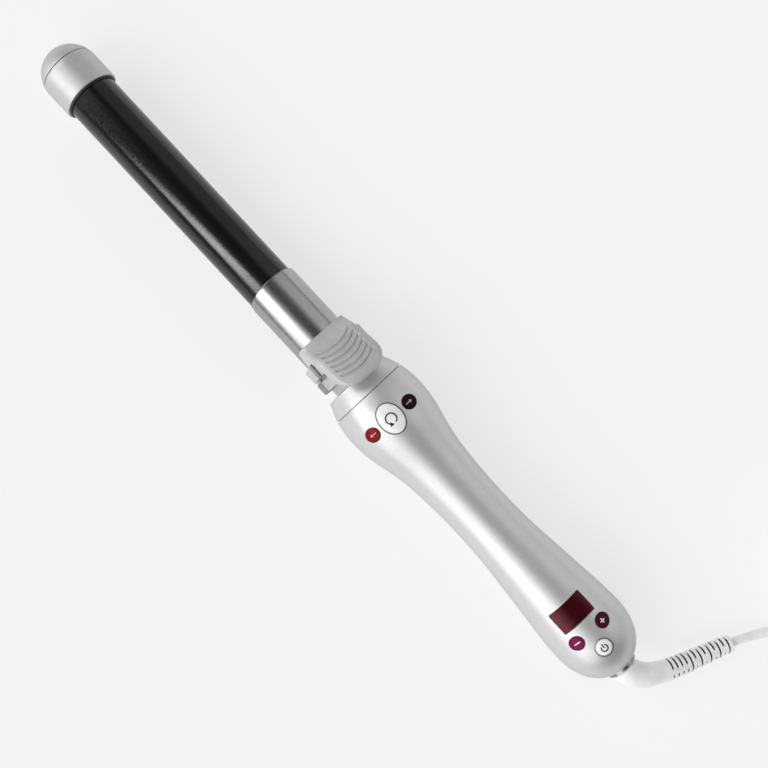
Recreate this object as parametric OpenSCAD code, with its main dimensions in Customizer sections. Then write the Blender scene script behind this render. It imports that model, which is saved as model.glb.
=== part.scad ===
// Rotating curling iron with a short spring clip, a shaped handle and a swivel lead.
// Lengths are in millimetres. +X runs along the barrel to its tip, +Z is up through the
// buttons and +Y is the left side. The iron lies on the underside of its handle at Z = 0.

/* [Posture] */
// Height of the long axis above the surface the handle rests on
axis_h = 19.6; // [19.4:0.1:19.9]
// Turn of the barrel and its clip about the long axis at rest
barrel_turn = 15; // [0:1:20]

/* [Handle] */
// Radius of the opening at the back of the handle
end_r = 8.1; // [7.9:0.1:8.6]
// Radius of the bulb at the back of the handle
bulb_r = 20.1; // [20:0.1:20.6]
// Radius of the waist
waist_r = 14.8; // [14.6:0.1:16]
// Radius of the shoulder under the main buttons
shoulder_r = 22; // [21.8:0.1:22.6]
// Radius where the handle meets the nose ring
seam_r = 20.5; // [20.2:0.1:21]
// Wall of the handle shells
wall = 2.2; // [1.8:0.1:2.3]
// Length of the handle shells
shell_l = 176.2; // [176:0.1:178]
// Length of the nose ring
nose_l = 9; // [8.8:0.1:10]
// Radius of the nose ring's front edge
nose_r = 16.5; // [16.2:0.1:16.8]
// Length of the silver ring at the back
collar_l = 1.8; // [1.4:0.1:2.4]

/* [Barrel] */
// Outer radius of the heated barrel
barrel_r = 12.7; // [12.5:0.1:12.8]
// Wall of the barrel tube
barrel_wall = 0.8; // [0.6:0.1:1]
// Length of barrel seen between bracket and tip
barrel_l = 166.8; // [150:0.1:185]
// Radius of the cool tip
tip_r = 14.5; // [14.2:0.1:15.2]
// Length of the tip collar
tip_collar_l = 17; // [15:0.5:22]
// Length of the tip dome beyond its seam
tip_dome_l = 11; // [10:0.5:12]
// Thickness of the black ring behind the tip
tip_ring_l = 0.8; // [0.5:0.1:1.2]

/* [Clip] */
// Length of the blade in front of its hinge pin
clip_l = 46.3; // [40:0.1:60]
// Thickness of the blade
blade_t = 0.8; // [0.6:0.1:0.9]
// Gap between blade and barrel
blade_gap = 0.5; // [0.4:0.1:0.6]
// Half of the angle that the blade wraps round the barrel
blade_wrap = 85; // [70:1:86]
// Height of the hinge pin above the barrel's axis
pin_h = 8; // [7.8:0.1:8.2]
// Radius of the hinge pin
pin_r = 1.5; // [1.2:0.1:1.6]
// Length of the thumb pad
pad_l = 30.2; // [29.5:0.1:30.4]
// Half of the thumb pad's width
pad_half = 14; // [13.9:0.05:14.1]
// Height of the thumb pad's back edge above the barrel's axis
pad_high = 27.9; // [27.4:0.1:28.4]
// Distance between grip grooves
groove_pitch = 2.96; // [2.6:0.1:3.1]
// Number of grip grooves
groove_n = 6; // [3:1:6]

/* [Bracket] */
// Radius of the neck
neck_r = 12; // [11.8:0.1:12.2]
// Length of neck seen between nose ring and bracket
neck_l = 4.5; // [4.2:0.1:5.5]
// Thickness of the bracket's flange
flange_l = 5.7; // [5.2:0.1:6]
// Width of the slot behind each ear
slot_l = 1.4; // [1:0.1:1.6]
// Length of each ear
ear_l = 7.1; // [6.9:0.1:7.4]
// Half of the width over both ears
ear_half = 17.7; // [17.3:0.1:18.3]

/* [Buttons] */
// Length and width of the oval button
go_size = [15.5, 11.8];
// Radius of the four small buttons
small_r = 3.25; // [3:0.05:3.4]
// Radius of the power button
power_r = 4; // [3.8:0.1:4.2]
// Travel of every button
travel = 0.8; // [0.4:0.1:0.8]
// Distance of the left and right buttons from the middle line
side_y = 11.3; // [11:0.1:11.5]
// Distance of the plus and minus buttons from the middle line
step_y = 7.9; // [7.7:0.1:8.1]
// How far a button stands out of the shell
proud = 0.3; // [0:0.1:0.5]

/* [Display] */
// Length of the window along the handle
window_l = 11.5; // [10:0.1:12]
// Width of the window round the handle
window_w = 18.2; // [16:0.1:18.6]
// Thickness of the lens
lens_t = 1.5; // [1.2:0.1:1.6]

/* [Drive] */
// Tooth size of the gears, as pitch diameter per tooth
tooth_m = 0.5; // [0.48:0.01:0.5]
// Teeth of each large wheel
wheel_n = 24;
// Teeth of each small wheel
pinion_n = 12;
// Width of the teeth
gear_w = 4; // [3:0.1:4]
// Radius of the motor and its gearhead
motor_r = 11; // [9:0.1:11.2]
// Radius of the drive shaft
shaft_r = 3.5; // [3:0.1:3.6]

/* [Lead] */
// Diameter of the mains lead
cord_d = 4.5; // [4.3:0.1:4.6]
// Radius of the boot where it leaves the handle
boot_r0 = 6.9; // [6.4:0.1:7.4]
// Radius of the boot at its first slot
boot_r1 = 5.3; // [5:0.1:5.6]
// Radius of the boot at its free end
boot_r2 = 4.3; // [4:0.1:4.6]
// Number of slots in the boot
boot_slots = 13; // [5:1:13]
// Distance between slots
boot_pitch = 2.7; // [2.4:0.1:2.8]

/* [Hidden] */
$fn = 96;
e = 0.01;          // overlap that makes a cut run clear of a face
fit = 0.05;        // radial clearance of a turning or sliding fit
seat_gap = 0.1;    // clearance round a piece that is dropped into its seat
swivel_r = 6;      // radius of the lead's swivel

// Stations along the long axis, measured from the back end of the iron
bulb_x = 25;
rear_x = collar_l;
seam_x = collar_l + shell_l;
nose_x = seam_x + nose_l;
flange_x = nose_x + neck_l;
slot_x = flange_x + flange_l;
ear_x = slot_x + slot_l;
bracket_x = ear_x + ear_l;
rim_x = bracket_x + barrel_l;
dome_x = rim_x + tip_collar_l;
total_l = dome_x + tip_dome_l;
waist_x = 0.559 * seam_x;
shoulder_back = 12.5;
shoulder_x = seam_x - shoulder_back;

// Clip and pad stations
pin_x = ear_x + ear_l / 2;
blade_ri = barrel_r + blade_gap;
blade_ro = blade_ri + blade_t;
blade_x0 = bracket_x + 0.6;
blade_x1 = pin_x + clip_l;
pad_reach = 12;
pad_x1 = pin_x + pad_reach;
pad_x0 = pad_x1 - pad_l;
pad_front_r = blade_ro + 1.2;
lug_t = 1.2;
lug_out = pad_half - 0.85;
lug_r = 3.1;
in_half = pad_half + 0.25;
ear_t = ear_half - in_half;
ear_low = 5;
ear_wide = 7;
ear_lean = 0.22;
lug_top = 5.2;
ear_rise = 4.6;

// Drive stations
gear_c = tooth_m * (wheel_n + pinion_n) / 2;
driven_x = seam_x - 20.5;
frame_bar_x = driven_x - 1.6;
pinion_x = frame_bar_x - gear_w - 0.4;
plate_x = pinion_x - 3;
plate_t = 2;
plate_r = 15.4;
bar_t = 1.2;
rail_t = 2;
rail_half = 4;
hub_r = 3.5;
gearhead_l = 14.5;
motor_l = 30;
motor_x = plate_x - gearhead_l - motor_l;
drum_r = 5.8;
ring_r = 6.4;

// Boards and buttons, heights above the long axis
front_x = seam_x - 15.3;
front_board_z = 9.5;
rear_board_z = 9.6;
board_t = 1.3;
front_rest_z = 12;
rear_rest_z = 12.3;
switch_gap = travel + 0.1;
step_x = 28.4;
power_x = 19;
window_x = 41.2;
flange_more = 0.65;
board_x0 = power_x - 7;
board_x1 = window_x + 16.8;
board_half = window_w / 2 - 0.1;
module_half = window_w / 2 - 2.1;
module_h = 4.5;

// Smooth curve between two stations, each given as place, radius and slope
function bend(a, b, x) =
    let (h = b[0] - a[0], t = (x - a[0]) / h)
    a[1] * (1 + 2 * t) * pow(1 - t, 2) + a[2] * h * t * pow(1 - t, 2)
    + b[1] * t * t * (3 - 2 * t) + b[2] * h * t * t * (t - 1);

// Outline of the handle
back_a = [bulb_x, bulb_r, 0];
back_b = [0.276 * seam_x, (bulb_r + waist_r) / 2 + 0.85, -0.104];
back_c = [0.412 * seam_x, waist_r + 1.2, -0.1];
waist = [waist_x, waist_r, 0];
front_a = [0.736 * seam_x, waist_r + 1.5, 0.104];
front_b = [0.837 * seam_x, shoulder_r - 2.2, 0.236];
shoulder = [shoulder_x, shoulder_r, 0];
seam = [seam_x, seam_r, -0.24];
curve = [back_a, back_b, back_c, waist, front_a, front_b, shoulder, seam];

function bulb_end(x) =
    bulb_r * pow(1 - pow((bulb_x - x) / bulb_x, 2.2), 1 / 2.2);
function along(x, i = 0) =
    (i >= len(curve) - 2 || x <= curve[i + 1][0]) ? bend(curve[i], curve[i + 1], x)
                                                  : along(x, i + 1);
function handle_r(x) = x < bulb_x ? max(end_r, bulb_end(x)) : along(x);

back_x = [for (i = [0:10]) rear_x + (bulb_x - rear_x) * (1 - cos(i * 9))];
front_xs = [for (i = [1:50]) bulb_x + (seam_x - bulb_x) * i / 50];
handle_x = concat(back_x, front_xs);

// A solid turned about the long axis from a list of stations and radii
module lathe(points) {
    rotate([0, 90, 0])
        rotate_extrude()
            polygon([for (p = points) [p[1], p[0]]]);
}

module bar(x0, x1, r) {
    translate([x0, 0, 0])
        rotate([0, 90, 0])
            cylinder(h = x1 - x0, r = r);
}

module ring(x0, x1, ro, ri) {
    difference() {
        bar(x0, x1, ro);
        bar(x0 - 1, x1 + 1, ri);
    }
}

// Shapes drawn across the axis (width, height), from the side (length, height) and from above
module across(x0, x1) {
    translate([x0, 0, 0])
        rotate([90, 0, 90])
            linear_extrude(x1 - x0)
                children();
}

module from_side(width) {
    rotate([90, 0, 0])
        linear_extrude(width, center = true)
            children();
}

module block(x0, x1, y0, y1, z0, z1) {
    translate([x0, y0, z0])
        cube([x1 - x0, y1 - y0, z1 - z0]);
}

module post(x, y, z0, z1, r) {
    translate([x, y, z0])
        cylinder(h = z1 - z0, r = r, $fn = 48);
}

// Places in the finished frame
module on_axis() {
    translate([-total_l / 2, 0, axis_h])
        children();
}

module on_barrel() {
    on_axis()
        rotate([barrel_turn, 0, 0])
            children();
}

// The handle's outline as a solid, moved out or in by a distance
module handle_solid(off = 0, x0 = rear_x, x1 = seam_x) {
    lathe(concat([[x0, 0]],
                 [for (x = handle_x) if (x >= x0 && x <= x1) [x, handle_r(x) + off]],
                 [[x1, 0]]));
}

// Handle shells

screw_side = 14;
screw_back = 7;
screw_at = [[0.36 * seam_x, 0], [motor_x - 12, 0], [seam_x - screw_back, screw_side],
            [seam_x - screw_back, -screw_side]];
boss_r = 3;
screw_r = 1;
head_r = 2.1;
head_z = -5;
rib_t = 1.8;
board_posts = concat([for (x = [board_x0 + 3, board_x1 - 3], y = [2 - board_half, board_half - 2])
                         [x, y, rear_board_z]],
                     [for (y = [-9.5, 9.5]) [front_x - 8.2, y, front_board_z]],
                     [for (y = [-8.6, 8.6]) [front_x + 6.3, y, front_board_z]]);

module cavity() {
    lathe(concat([[rear_x + 2.6, 0], [rear_x + 2.6, 7.6]],
                 [for (x = handle_x) if (x > rear_x + 4 && x < seam_x) [x, max(7.6, handle_r(x) - wall)]],
                 [[seam_x + 1, handle_r(seam_x) - wall], [seam_x + 1, 0]]));
}

module rib(x, inner_r) {
    difference() {
        bar(x - rib_t / 2, x + rib_t / 2, handle_r(x) - wall + 0.6);
        bar(x - rib_t, x + rib_t, inner_r);
    }
}

module ribs() {
    rib(motor_x + 0.2 * motor_l, motor_r + seat_gap);
    rib(motor_x + 0.8 * motor_l, motor_r + seat_gap);
    rib(plate_x + plate_t / 2, plate_r + seat_gap);
}

module bosses(r) {
    for (p = screw_at)
        post(p[0], p[1], -30, 30, r);
}

module half(up, lip) {
    block(-10, total_l, -30, 30, up ? lip : -40, up ? 40 : lip);
}

module shell_body() {
    difference() {
        handle_solid();
        cavity();
    }
    intersection() {
        union() {
            ribs();
            bosses(boss_r);
        }
        handle_solid(-wall + 0.3);
    }
}

module oval(size, more = 0) {
    rx = size[0] / 2 + more;
    ry = size[1] / 2 + more;
    polygon([for (i = [0:47]) [rx * cos(i * 7.5), ry * sin(i * 7.5)]]);
}

module openings_top() {
    translate([front_x, 0, 5])
        linear_extrude(30)
            oval(go_size, 0.25);
    for (y = [-side_y, side_y])
        post(front_x, y, 5, 30, small_r + 0.15);
    for (y = [-step_y, step_y])
        post(step_x, y, 5, 30, small_r + 0.15);
    post(power_x, 0, 5, 30, power_r + 0.65);
    window_cut(-0.8, 8, 40);
    difference() {
        window_cut(seat_gap, 8, 40);
        handle_solid(-lens_t);
    }
}

module window_cut(more, z0, z1) {
    block(window_x - window_l / 2 - more, window_x + window_l / 2 + more,
          -window_w / 2 - more, window_w / 2 + more, z0, z1);
}

module handle_shell_top() {
    color("silver")
        on_axis()
            difference() {
                intersection() {
                    shell_body();
                    half(true, 0);
                }
                openings_top();
                bar(-1, rear_x + 8, 7.6);
                for (p = screw_at)
                    post(p[0], p[1], -1, 6, screw_r);
            }
    color("silver")
        on_axis()
            intersection() {
                handle_solid(-wall + 0.3);
                for (p = board_posts)
                    post(p[0], p[1], p[2], 30, 1.5);
            }
}

module handle_shell_bottom() {
    color("silver")
        on_axis()
            difference() {
                intersection() {
                    shell_body();
                    half(false, 0);
                    block(-10, total_l, -30, 30, -axis_h, 40);
                }
                bar(-1, rear_x + 8, 7.6);
                for (p = screw_at) {
                    post(p[0], p[1], -30, 1, screw_r + 0.15);
                    post(p[0], p[1], -30, head_z, head_r + 0.2);
                }
            }
}

module shell_screws() {
    color("dimgray")
        on_axis()
            for (p = screw_at)
                difference() {
                    union() {
                        post(p[0], p[1], head_z - 1.6, head_z, head_r);
                        post(p[0], p[1], head_z - e, 5.8, screw_r);
                    }
                    for (a = [0, 90])
                        translate([p[0], p[1], head_z - 1.6])
                            rotate([0, 0, a])
                                cube([2.6, 0.5, 1.4], center = true);
                }
}

module nose_ring() {
    bore = neck_r + 0.35;
    seat = neck_r + 2.2;
    spigot = seam_r - wall - seat_gap;
    color("silver")
        on_axis()
            intersection() {
                lathe(concat([[nose_x - 2.8, bore], [nose_x - 2.8, seat], [seam_x - 3, seat],
                              [seam_x - 3, spigot], [seam_x, spigot], [seam_x, seam_r]],
                             [for (i = [1:8])
                                 let (x = seam_x + (nose_l - 1) * i / 8)
                                 [x, bend([seam_x, seam_r, -0.3], [nose_x - 1, nose_r + 0.9, -0.46], x)]],
                             [for (a = [20:17.5:90])
                                 [nose_x - 1 + sin(a), nose_r + 0.9 - 0.9 * (1 - cos(a))]],
                             [[nose_x, bore]]));
                block(0, total_l, -30, 30, -axis_h, 40);
            }
}

module front_bearing() {
    color("goldenrod")
        on_axis()
            ring(seam_x, nose_x - 2.8, neck_r + 2.2, neck_r + fit);
}

module base_collar() {
    color("silver")
        on_axis()
            lathe([[0, swivel_r + fit], [0, end_r - 0.3], [0.3, end_r], [0.8, end_r], [0.9, end_r - 0.25],
                   [1.1, end_r - 0.25], [1.2, end_r], [rear_x, end_r], [rear_x, 7.5],
                   [rear_x + 1.2, 7.5], [rear_x + 1.2, swivel_r + fit]]);
}

// Display

module display_window() {
    color("darkred")
        on_axis()
            intersection() {
                difference() {
                    handle_solid();
                    handle_solid(-lens_t);
                }
                window_cut(0, 8, 40);
            }
}

module display_module() {
    color("black")
        on_axis()
            block(window_x - window_l / 2 - 0.4, window_x + window_l / 2 + 0.4, -module_half, module_half,
                  rear_board_z, rear_board_z + module_h);
}

// Boards

module main_board() {
    color("darkgreen")
        on_axis()
            block(board_x0, board_x1, -board_half, board_half, rear_board_z - board_t, rear_board_z);
}

module front_board() {
    x0 = front_x - 9.8;
    x1 = front_x + 8;
    color("darkgreen")
        on_axis()
            translate([0, 0, front_board_z - board_t])
                linear_extrude(board_t)
                    polygon([[x0, -11], [front_x - 6, -11], [front_x - 4, -13.6], [front_x + 3.5, -13.6],
                             [front_x + 5, -10.4], [x1, -10.4], [x1, 10.4], [front_x + 5, 10.4],
                             [front_x + 3.5, 13.6], [front_x - 4, 13.6], [front_x - 6, 11], [x0, 11]]);
}

module switches(places, z0, z1) {
    color("darkslategray")
        on_axis()
            for (p = places) {
                block(p[0] - 1.7, p[0] + 1.7, p[1] - 1.7, p[1] + 1.7, z0, z1 - 0.4);
                post(p[0], p[1], z0, z1, 0.9);
            }
}

module front_switches() {
    switches([[front_x, 0], [front_x, side_y], [front_x, -side_y]],
             front_board_z, front_rest_z - switch_gap);
}

module rear_switches() {
    switches([[power_x, 0], [step_x, step_y], [step_x, -step_y]],
             rear_board_z, rear_rest_z - switch_gap);
}

module board_parts() {
    z = rear_board_z - board_t;
    color("saddlebrown")
        on_axis() {
            post(window_x + 10.8, 3.5, z - 9, z, 3.2);
            block(window_x - 7.2, window_x + 3.8, -7.5, -0.5, z - 6, z);
            block(window_x - 7.2, window_x + 0.8, 2, 7, z - 3.5, z);
            block(board_x0 + 8, board_x0 + 17, -6, 6, z - 1.2, z);
        }
}

// Buttons: a cap that follows the shell, a flange under the shell and a plunger

module button(x, y, cap_r, rest_z) {
    intersection() {
        handle_solid(proud);
        post(x, y, rest_z + 1, 30, cap_r);
    }
    intersection() {
        handle_solid(-wall - 0.25);
        post(x, y, rest_z + 0.1, 30, cap_r + flange_more);
    }
    post(x, y, rest_z, rest_z + 1.2, 1.2);
}

module go_button() {
    color("white")
        on_axis() {
            intersection() {
                handle_solid(proud);
                translate([front_x, 0, front_rest_z + 4])
                    linear_extrude(14)
                        oval(go_size);
            }
            intersection() {
                handle_solid(-wall - 0.25);
                translate([front_x, 0, front_rest_z + 4])
                    linear_extrude(14)
                        oval(go_size, flange_more);
            }
            post(front_x, 0, front_rest_z, front_rest_z + 5, 1.6);
        }
}

module left_button() {
    color("firebrick")
        on_axis()
            button(front_x, side_y, small_r, front_rest_z);
}

module right_button() {
    color("maroon")
        on_axis()
            button(front_x, -side_y, small_r, front_rest_z);
}

module plus_button() {
    color("purple")
        on_axis()
            button(step_x, -step_y, small_r, rear_rest_z);
}

module minus_button() {
    color("mediumvioletred")
        on_axis()
            button(step_x, step_y, small_r, rear_rest_z);
}

module power_button() {
    color("white")
        on_axis()
            button(power_x, 0, power_r, rear_rest_z);
}

module power_button_ring() {
    color("gray")
        on_axis()
            intersection() {
                difference() {
                    handle_solid(0.15);
                    handle_solid(-wall);
                }
                difference() {
                    post(power_x, 0, 8, 30, power_r + 0.6);
                    post(power_x, 0, 7, 31, power_r + 0.15);
                }
            }
}

// Gears: involute teeth from their polar form

press_angle = 25;
backlash = 0.9;     // taken off each tooth, in degrees of a small wheel
function inv_deg(a) = tan(a) * 180 / PI - a;
function tooth_half(n, r) =
    let (rb = tooth_m * n / 2 * cos(press_angle), a = r > rb ? acos(rb / r) : 0)
    90 / n + inv_deg(press_angle) - inv_deg(a) - backlash * pinion_n / n / 2;

module gear2d(n, phase = 0) {
    rp = tooth_m * n / 2;
    flank = [rp - 1.2 * tooth_m, rp - 0.45 * tooth_m, rp, rp + 0.45 * tooth_m, rp + 0.88 * tooth_m];
    step = 360 / n;
    polygon([for (k = [0:n - 1], side = [-1, 1], i = [0:4])
                let (r = flank[side < 0 ? i : 4 - i], a = k * step + phase + side * tooth_half(n, r))
                [r * cos(a), r * sin(a)]]);
}

module gear(x, n, phase, bore) {
    translate([x, 0, 0])
        rotate([90, 0, 90])
            linear_extrude(gear_w)
                difference() {
                    gear2d(n, phase);
                    circle(bore);
                }
}

module driven_gear() {
    color("ivory")
        on_axis()
            gear(driven_x, wheel_n, -90, shaft_r);
}

module motor_pinion() {
    color("goldenrod")
        on_axis()
            gear(pinion_x, pinion_n, -90, 1.5);
}

module cluster_gear() {
    color("ivory")
        on_axis()
            translate([0, 0, -gear_c]) {
                gear(pinion_x, wheel_n, 90 + 180 / wheel_n, 1 + fit);
                gear(driven_x, pinion_n, 90 + 180 / pinion_n, 1 + fit);
                ring(pinion_x + gear_w - e, driven_x + e, 2.2, 1 + fit);
            }
}

module cluster_axle() {
    color("gray")
        on_axis()
            translate([0, 0, -gear_c])
                bar(plate_x, driven_x + gear_w + 0.6, 1);
}

module gear_frame() {
    rail = plate_r - 0.8;
    color("lightsteelblue")
        on_axis()
            difference() {
                union() {
                    bar(plate_x, plate_x + plate_t, plate_r);
                    for (s = [-1, 1])
                        block(plate_x, frame_bar_x + bar_t, min(s * rail, s * (rail - rail_t)),
                              max(s * rail, s * (rail - rail_t)), -rail_half, rail_half);
                    block(frame_bar_x, frame_bar_x + bar_t, -rail, rail, -rail_half - 1, rail_half + 1);
                    bar(frame_bar_x, frame_bar_x + bar_t, shaft_r + 1.9);
                }
                bar(plate_x - 1, plate_x + plate_t + 1, hub_r);
                bar(frame_bar_x - 1, frame_bar_x + bar_t + 1, shaft_r + 1.2);
                translate([0, 0, -gear_c])
                    bar(plate_x - 1, plate_x + plate_t + 1, 1);
            }
}

module rear_bearing() {
    color("goldenrod")
        on_axis()
            ring(frame_bar_x, frame_bar_x + bar_t, shaft_r + 1.2, shaft_r + fit);
}

module motor_gearhead() {
    color("silver")
        on_axis()
            difference() {
                union() {
                    bar(plate_x - gearhead_l, plate_x, motor_r);
                    bar(plate_x - 1, plate_x + plate_t, hub_r);
                }
                bar(plate_x - 4, plate_x + plate_t + 1, 1.5 + fit);
            }
}

module motor_can() {
    edge = 1.2;
    color("gray")
        on_axis() {
            lathe([[motor_x, 0], [motor_x, motor_r - edge], [motor_x + edge, motor_r],
                   [motor_x + motor_l, motor_r], [motor_x + motor_l, 0]]);
            bar(motor_x - 1.8, motor_x + e, hub_r + 0.5);
        }
}

module motor_shaft() {
    color("gray")
        on_axis()
            bar(plate_x - 3.5, pinion_x + gear_w, 1.5);
}

// Turning parts inside the nose

module drive_shaft() {
    color("dimgray")
        on_axis()
            difference() {
                union() {
                    bar(frame_bar_x + 0.1, seam_x - 3.5, shaft_r);
                    bar(seam_x - 3.5, seam_x - 1, neck_r - 1);
                }
                bar(frame_bar_x - 1, seam_x, shaft_r - 1.3);
            }
}

drum_x0 = driven_x + gear_w + 0.8;
drum_x1 = seam_x - 3.5;
ring_step = (drum_x1 - drum_x0) / 3;
ring_w = ring_step - 1.4;

module slip_ring_drum() {
    color("black")
        on_axis()
            ring(drum_x0, drum_x1, drum_r, shaft_r);
}

module slip_rings() {
    color("gold")
        on_axis()
            for (i = [0:2]) {
                x0 = drum_x0 + ring_step * i + 0.7;
                ring(x0, x0 + ring_w, ring_r, drum_r);
            }
}

module brush_block() {
    color("black")
        on_axis()
            difference() {
                intersection() {
                    block(drum_x0, drum_x1, -5, 5, -30, -ring_r - 2.2);
                    handle_solid(-wall);
                }
                for (i = [0:2])
                    brush(i, 0);
            }
}

module brush(i, more) {
    x = drum_x0 + ring_step * (i + 0.5);
    block(x - 0.8 - more, x + 0.8 + more, -1.2 - more, 1.2 + more, -ring_r - 7, -ring_r - fit);
}

module brushes() {
    color("darkgoldenrod")
        on_axis()
            for (i = [0:2])
                brush(i, -0.02);
}

// Clip bracket with its neck, flange and two ears

// Half of the width over both ears at one height: widest at ear_wide, drawn in below
function ear_out(w) = ear_half - ear_lean * (ear_wide - w);

module ear2d(s) {
    top = pin_h + ear_rise;
    polygon([[s * in_half, -ear_low], [s * in_half, top], [s * (ear_half - 0.46 * ear_t), top],
             [s * ear_half, ear_wide], [s * ear_out(-ear_low), -ear_low]]);
}

// Outline of an ear seen from above, with its corner cut off towards the tip
module ear_plan(s) {
    polygon([[ear_x - 1, 0], [ear_x - 1, s * 30], [bracket_x - 1.8, s * (ear_half + 1)],
             [bracket_x - 1.2, s * ear_half], [bracket_x + e, s * (ear_half - 0.63 * ear_t)],
             [bracket_x + e, 0]]);
}

// The web that carries an ear, set back a little so that the slot shows
module web2d(s) {
    polygon([[s * (barrel_r - 0.4), 1 - ear_low], [s * (ear_out(1 - ear_low) - 0.8), 1 - ear_low],
             [s * (ear_out(2) - 0.8), 2], [s * in_half, 4.2], [s * (barrel_r - 0.4), 4.2]]);
}

module clip_bracket() {
    bore_x = flange_x + 2.5;
    color("gainsboro")
        on_barrel()
            difference() {
                union() {
                    bar(seam_x - 1, flange_x + e, neck_r);
                    bar(flange_x, slot_x, barrel_r + 2.9);
                    bar(slot_x - e, bracket_x, barrel_r + 0.9);
                    across(flange_x, slot_x)
                        polygon([[-ear_out(-ear_low), -ear_low], [-ear_out(lug_top), lug_top],
                                 [ear_out(lug_top), lug_top], [ear_out(-ear_low), -ear_low]]);
                    for (s = [-1, 1]) {
                        across(slot_x - e, bracket_x)
                            web2d(s);
                        intersection() {
                            across(ear_x, bracket_x)
                                ear2d(s);
                            linear_extrude(60, center = true)
                                ear_plan(s);
                        }
                    }
                }
                bar(bore_x, bracket_x + 1, barrel_r);
                bar(seam_x - 2, bore_x + 1, 8);
                for (s = [-1, 1]) {
                    near = s * (lug_out - lug_t - 0.2);
                    far = s * (in_half - 0.02);
                    block(ear_x - 0.2, bracket_x + 1, min(near, far), max(near, far),
                          pin_h - lug_r - 0.2, pin_h + 8);
                }
                translate([pin_x, 0, pin_h])
                    rotate([90, 0, 0])
                        cylinder(h = 2 * ear_half + 4, r = pin_r, center = true);
                post(spring_x, 0, spring_z, 30, spring_r + 0.9);
            }
}

module hinge_pins() {
    color("silver")
        on_barrel()
            for (s = [-1, 1])
                translate([pin_x, s * (lug_out - lug_t), pin_h])
                    rotate([s * -90, 0, 0])
                        cylinder(h = ear_half - 1.5 - lug_out + lug_t, r = pin_r);
}

strap_z = blade_ro + 0.5;
strap_t = 1.2;
tongue_x = pad_x1 - 3.7;

module clip_carrier() {
    color("darkgray")
        on_barrel()
            difference() {
                union() {
                    for (s = [-1, 1])
                        translate([0, s * (lug_out - lug_t / 2), 0])
                            from_side(lug_t)
                                carrier_outline();
                    block(pin_x - lug_r + 0.9, pin_x + lug_r, -lug_out, lug_out,
                          strap_z, strap_z + strap_t);
                    intersection() {
                        union() {
                            ring(blade_x0 + 0.1, tongue_x, blade_ro + 1, blade_ro);
                            ring(pin_x + lug_r - 1.5, pin_x + lug_r + 1.2, blade_ro + 1.6, blade_ro);
                        }
                        block(0, total_l, -7, 7, 0, 40);
                    }
                }
                translate([pin_x, 0, pin_h])
                    rotate([90, 0, 0])
                        cylinder(h = 2 * ear_half, r = pin_r + fit, center = true);
                rivet_holes();
            }
}

// Side of the carrier: a round eye about the pin under a straight strap
module carrier_outline() {
    translate([pin_x, pin_h])
        circle(lug_r);
    translate([pin_x - lug_r, pin_h])
        square([2 * lug_r, strap_z + strap_t - pin_h]);
}

rivet_x = pin_x + 6.4;
rivet_r = 0.9;

module rivet_holes() {
    for (y = [-4.4, 4.4])
        post(rivet_x, y, 5, 30, rivet_r);
}

module clip_rivets() {
    color("silver")
        on_barrel()
            for (y = [-4.4, 4.4])
                intersection() {
                    post(rivet_x, y, 5, 30, rivet_r);
                    ring(blade_x0, pad_x1, blade_ro + 1.5, blade_ri);
                }
}

module clip_blade() {
    flat = blade_ri * cos(blade_wrap);
    color("silver")
        on_barrel()
            difference() {
                intersection() {
                    ring(blade_x0, blade_x1, blade_ro, blade_ri);
                    block(0, total_l, -30, 30, flat, 40);
                    linear_extrude(40)
                        blade_plan();
                }
                rivet_holes();
            }
}

// The blade's free end is a wide arc with rounded corners
function blade_back(a) = 2.2 * pow(a / 75, 2) + 2.8 * pow(max(0, a - 75) / 10, 2);
blade_angles = concat([for (a = [0:7.5:75]) a], [77.5, 80, 82.5, 85]);

module blade_plan() {
    side = blade_ro + 0.05;
    polygon(concat([for (i = [len(blade_angles) - 1:-1:1])
                       [blade_x1 - blade_back(blade_angles[i]), -side * sin(blade_angles[i])]],
                   [for (a = blade_angles) [blade_x1 - blade_back(a), side * sin(a)]],
                   [[blade_x1 - 5.2, side + 1], [blade_x0 - 1, side + 1], [blade_x0 - 1, -side - 1],
                    [blade_x1 - 5.2, -side - 1]]));
}

// Thumb pad: sections across the clip give its crowned top, then it is hollowed from below
ramp_x = pad_x1 - 9.6;
ramp_z = pad_front_r + 6.2;
edge_r = 2.1;
crown = 1.5;
end_l = 10;

function pad_top(x) =
    x > ramp_x ? bend([ramp_x, ramp_z, -0.36], [pad_x1, pad_front_r, -0.12], x)
               : bend([pad_x0, pad_high, -0.22], [ramp_x, ramp_z, -0.36], x);
function pad_side(x) =
    x < pad_x0 + end_l ? pad_half * pow(1 - pow((pad_x0 + end_l - x) / (end_l + 0.1), 2.4), 1 / 2.4)
                       : pad_half - 0.8 * pow((x - pad_x0 - end_l) / (pad_l - end_l), 2);
function round_off(d, r) = d >= r ? 0 : r - sqrt(r * r - pow(r - d, 2));
function pad_height(x, u) =
    pad_top(x) - crown * pow(u / pad_half, 2)
    - round_off(pad_side(x) - abs(u), min(edge_r, pad_side(x)))
    - round_off(x - pad_x0, 1.9) - round_off(pad_x1 - x, 0.5);
function pad_places(b) =
    let (r = min(edge_r, b), half = [b, b - r * 0.13, b - r * 0.5, b - r, (b - r) * 0.7, (b - r) * 0.36])
    concat([for (u = half) u], [0], [for (i = [5:-1:0]) -half[i]]);
pad_stations = concat([for (d = [0, 0.25, 0.95, 1.9, 3.2, 4.9, 7, end_l]) pad_x0 + d],
                      [for (i = [1:3]) pad_x0 + end_l + (ramp_x - pad_x0 - end_l) * i / 3],
                      [for (d = [7.8, 6, 4.2, 2.4, 0.5, 0]) pad_x1 - d]);

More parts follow.
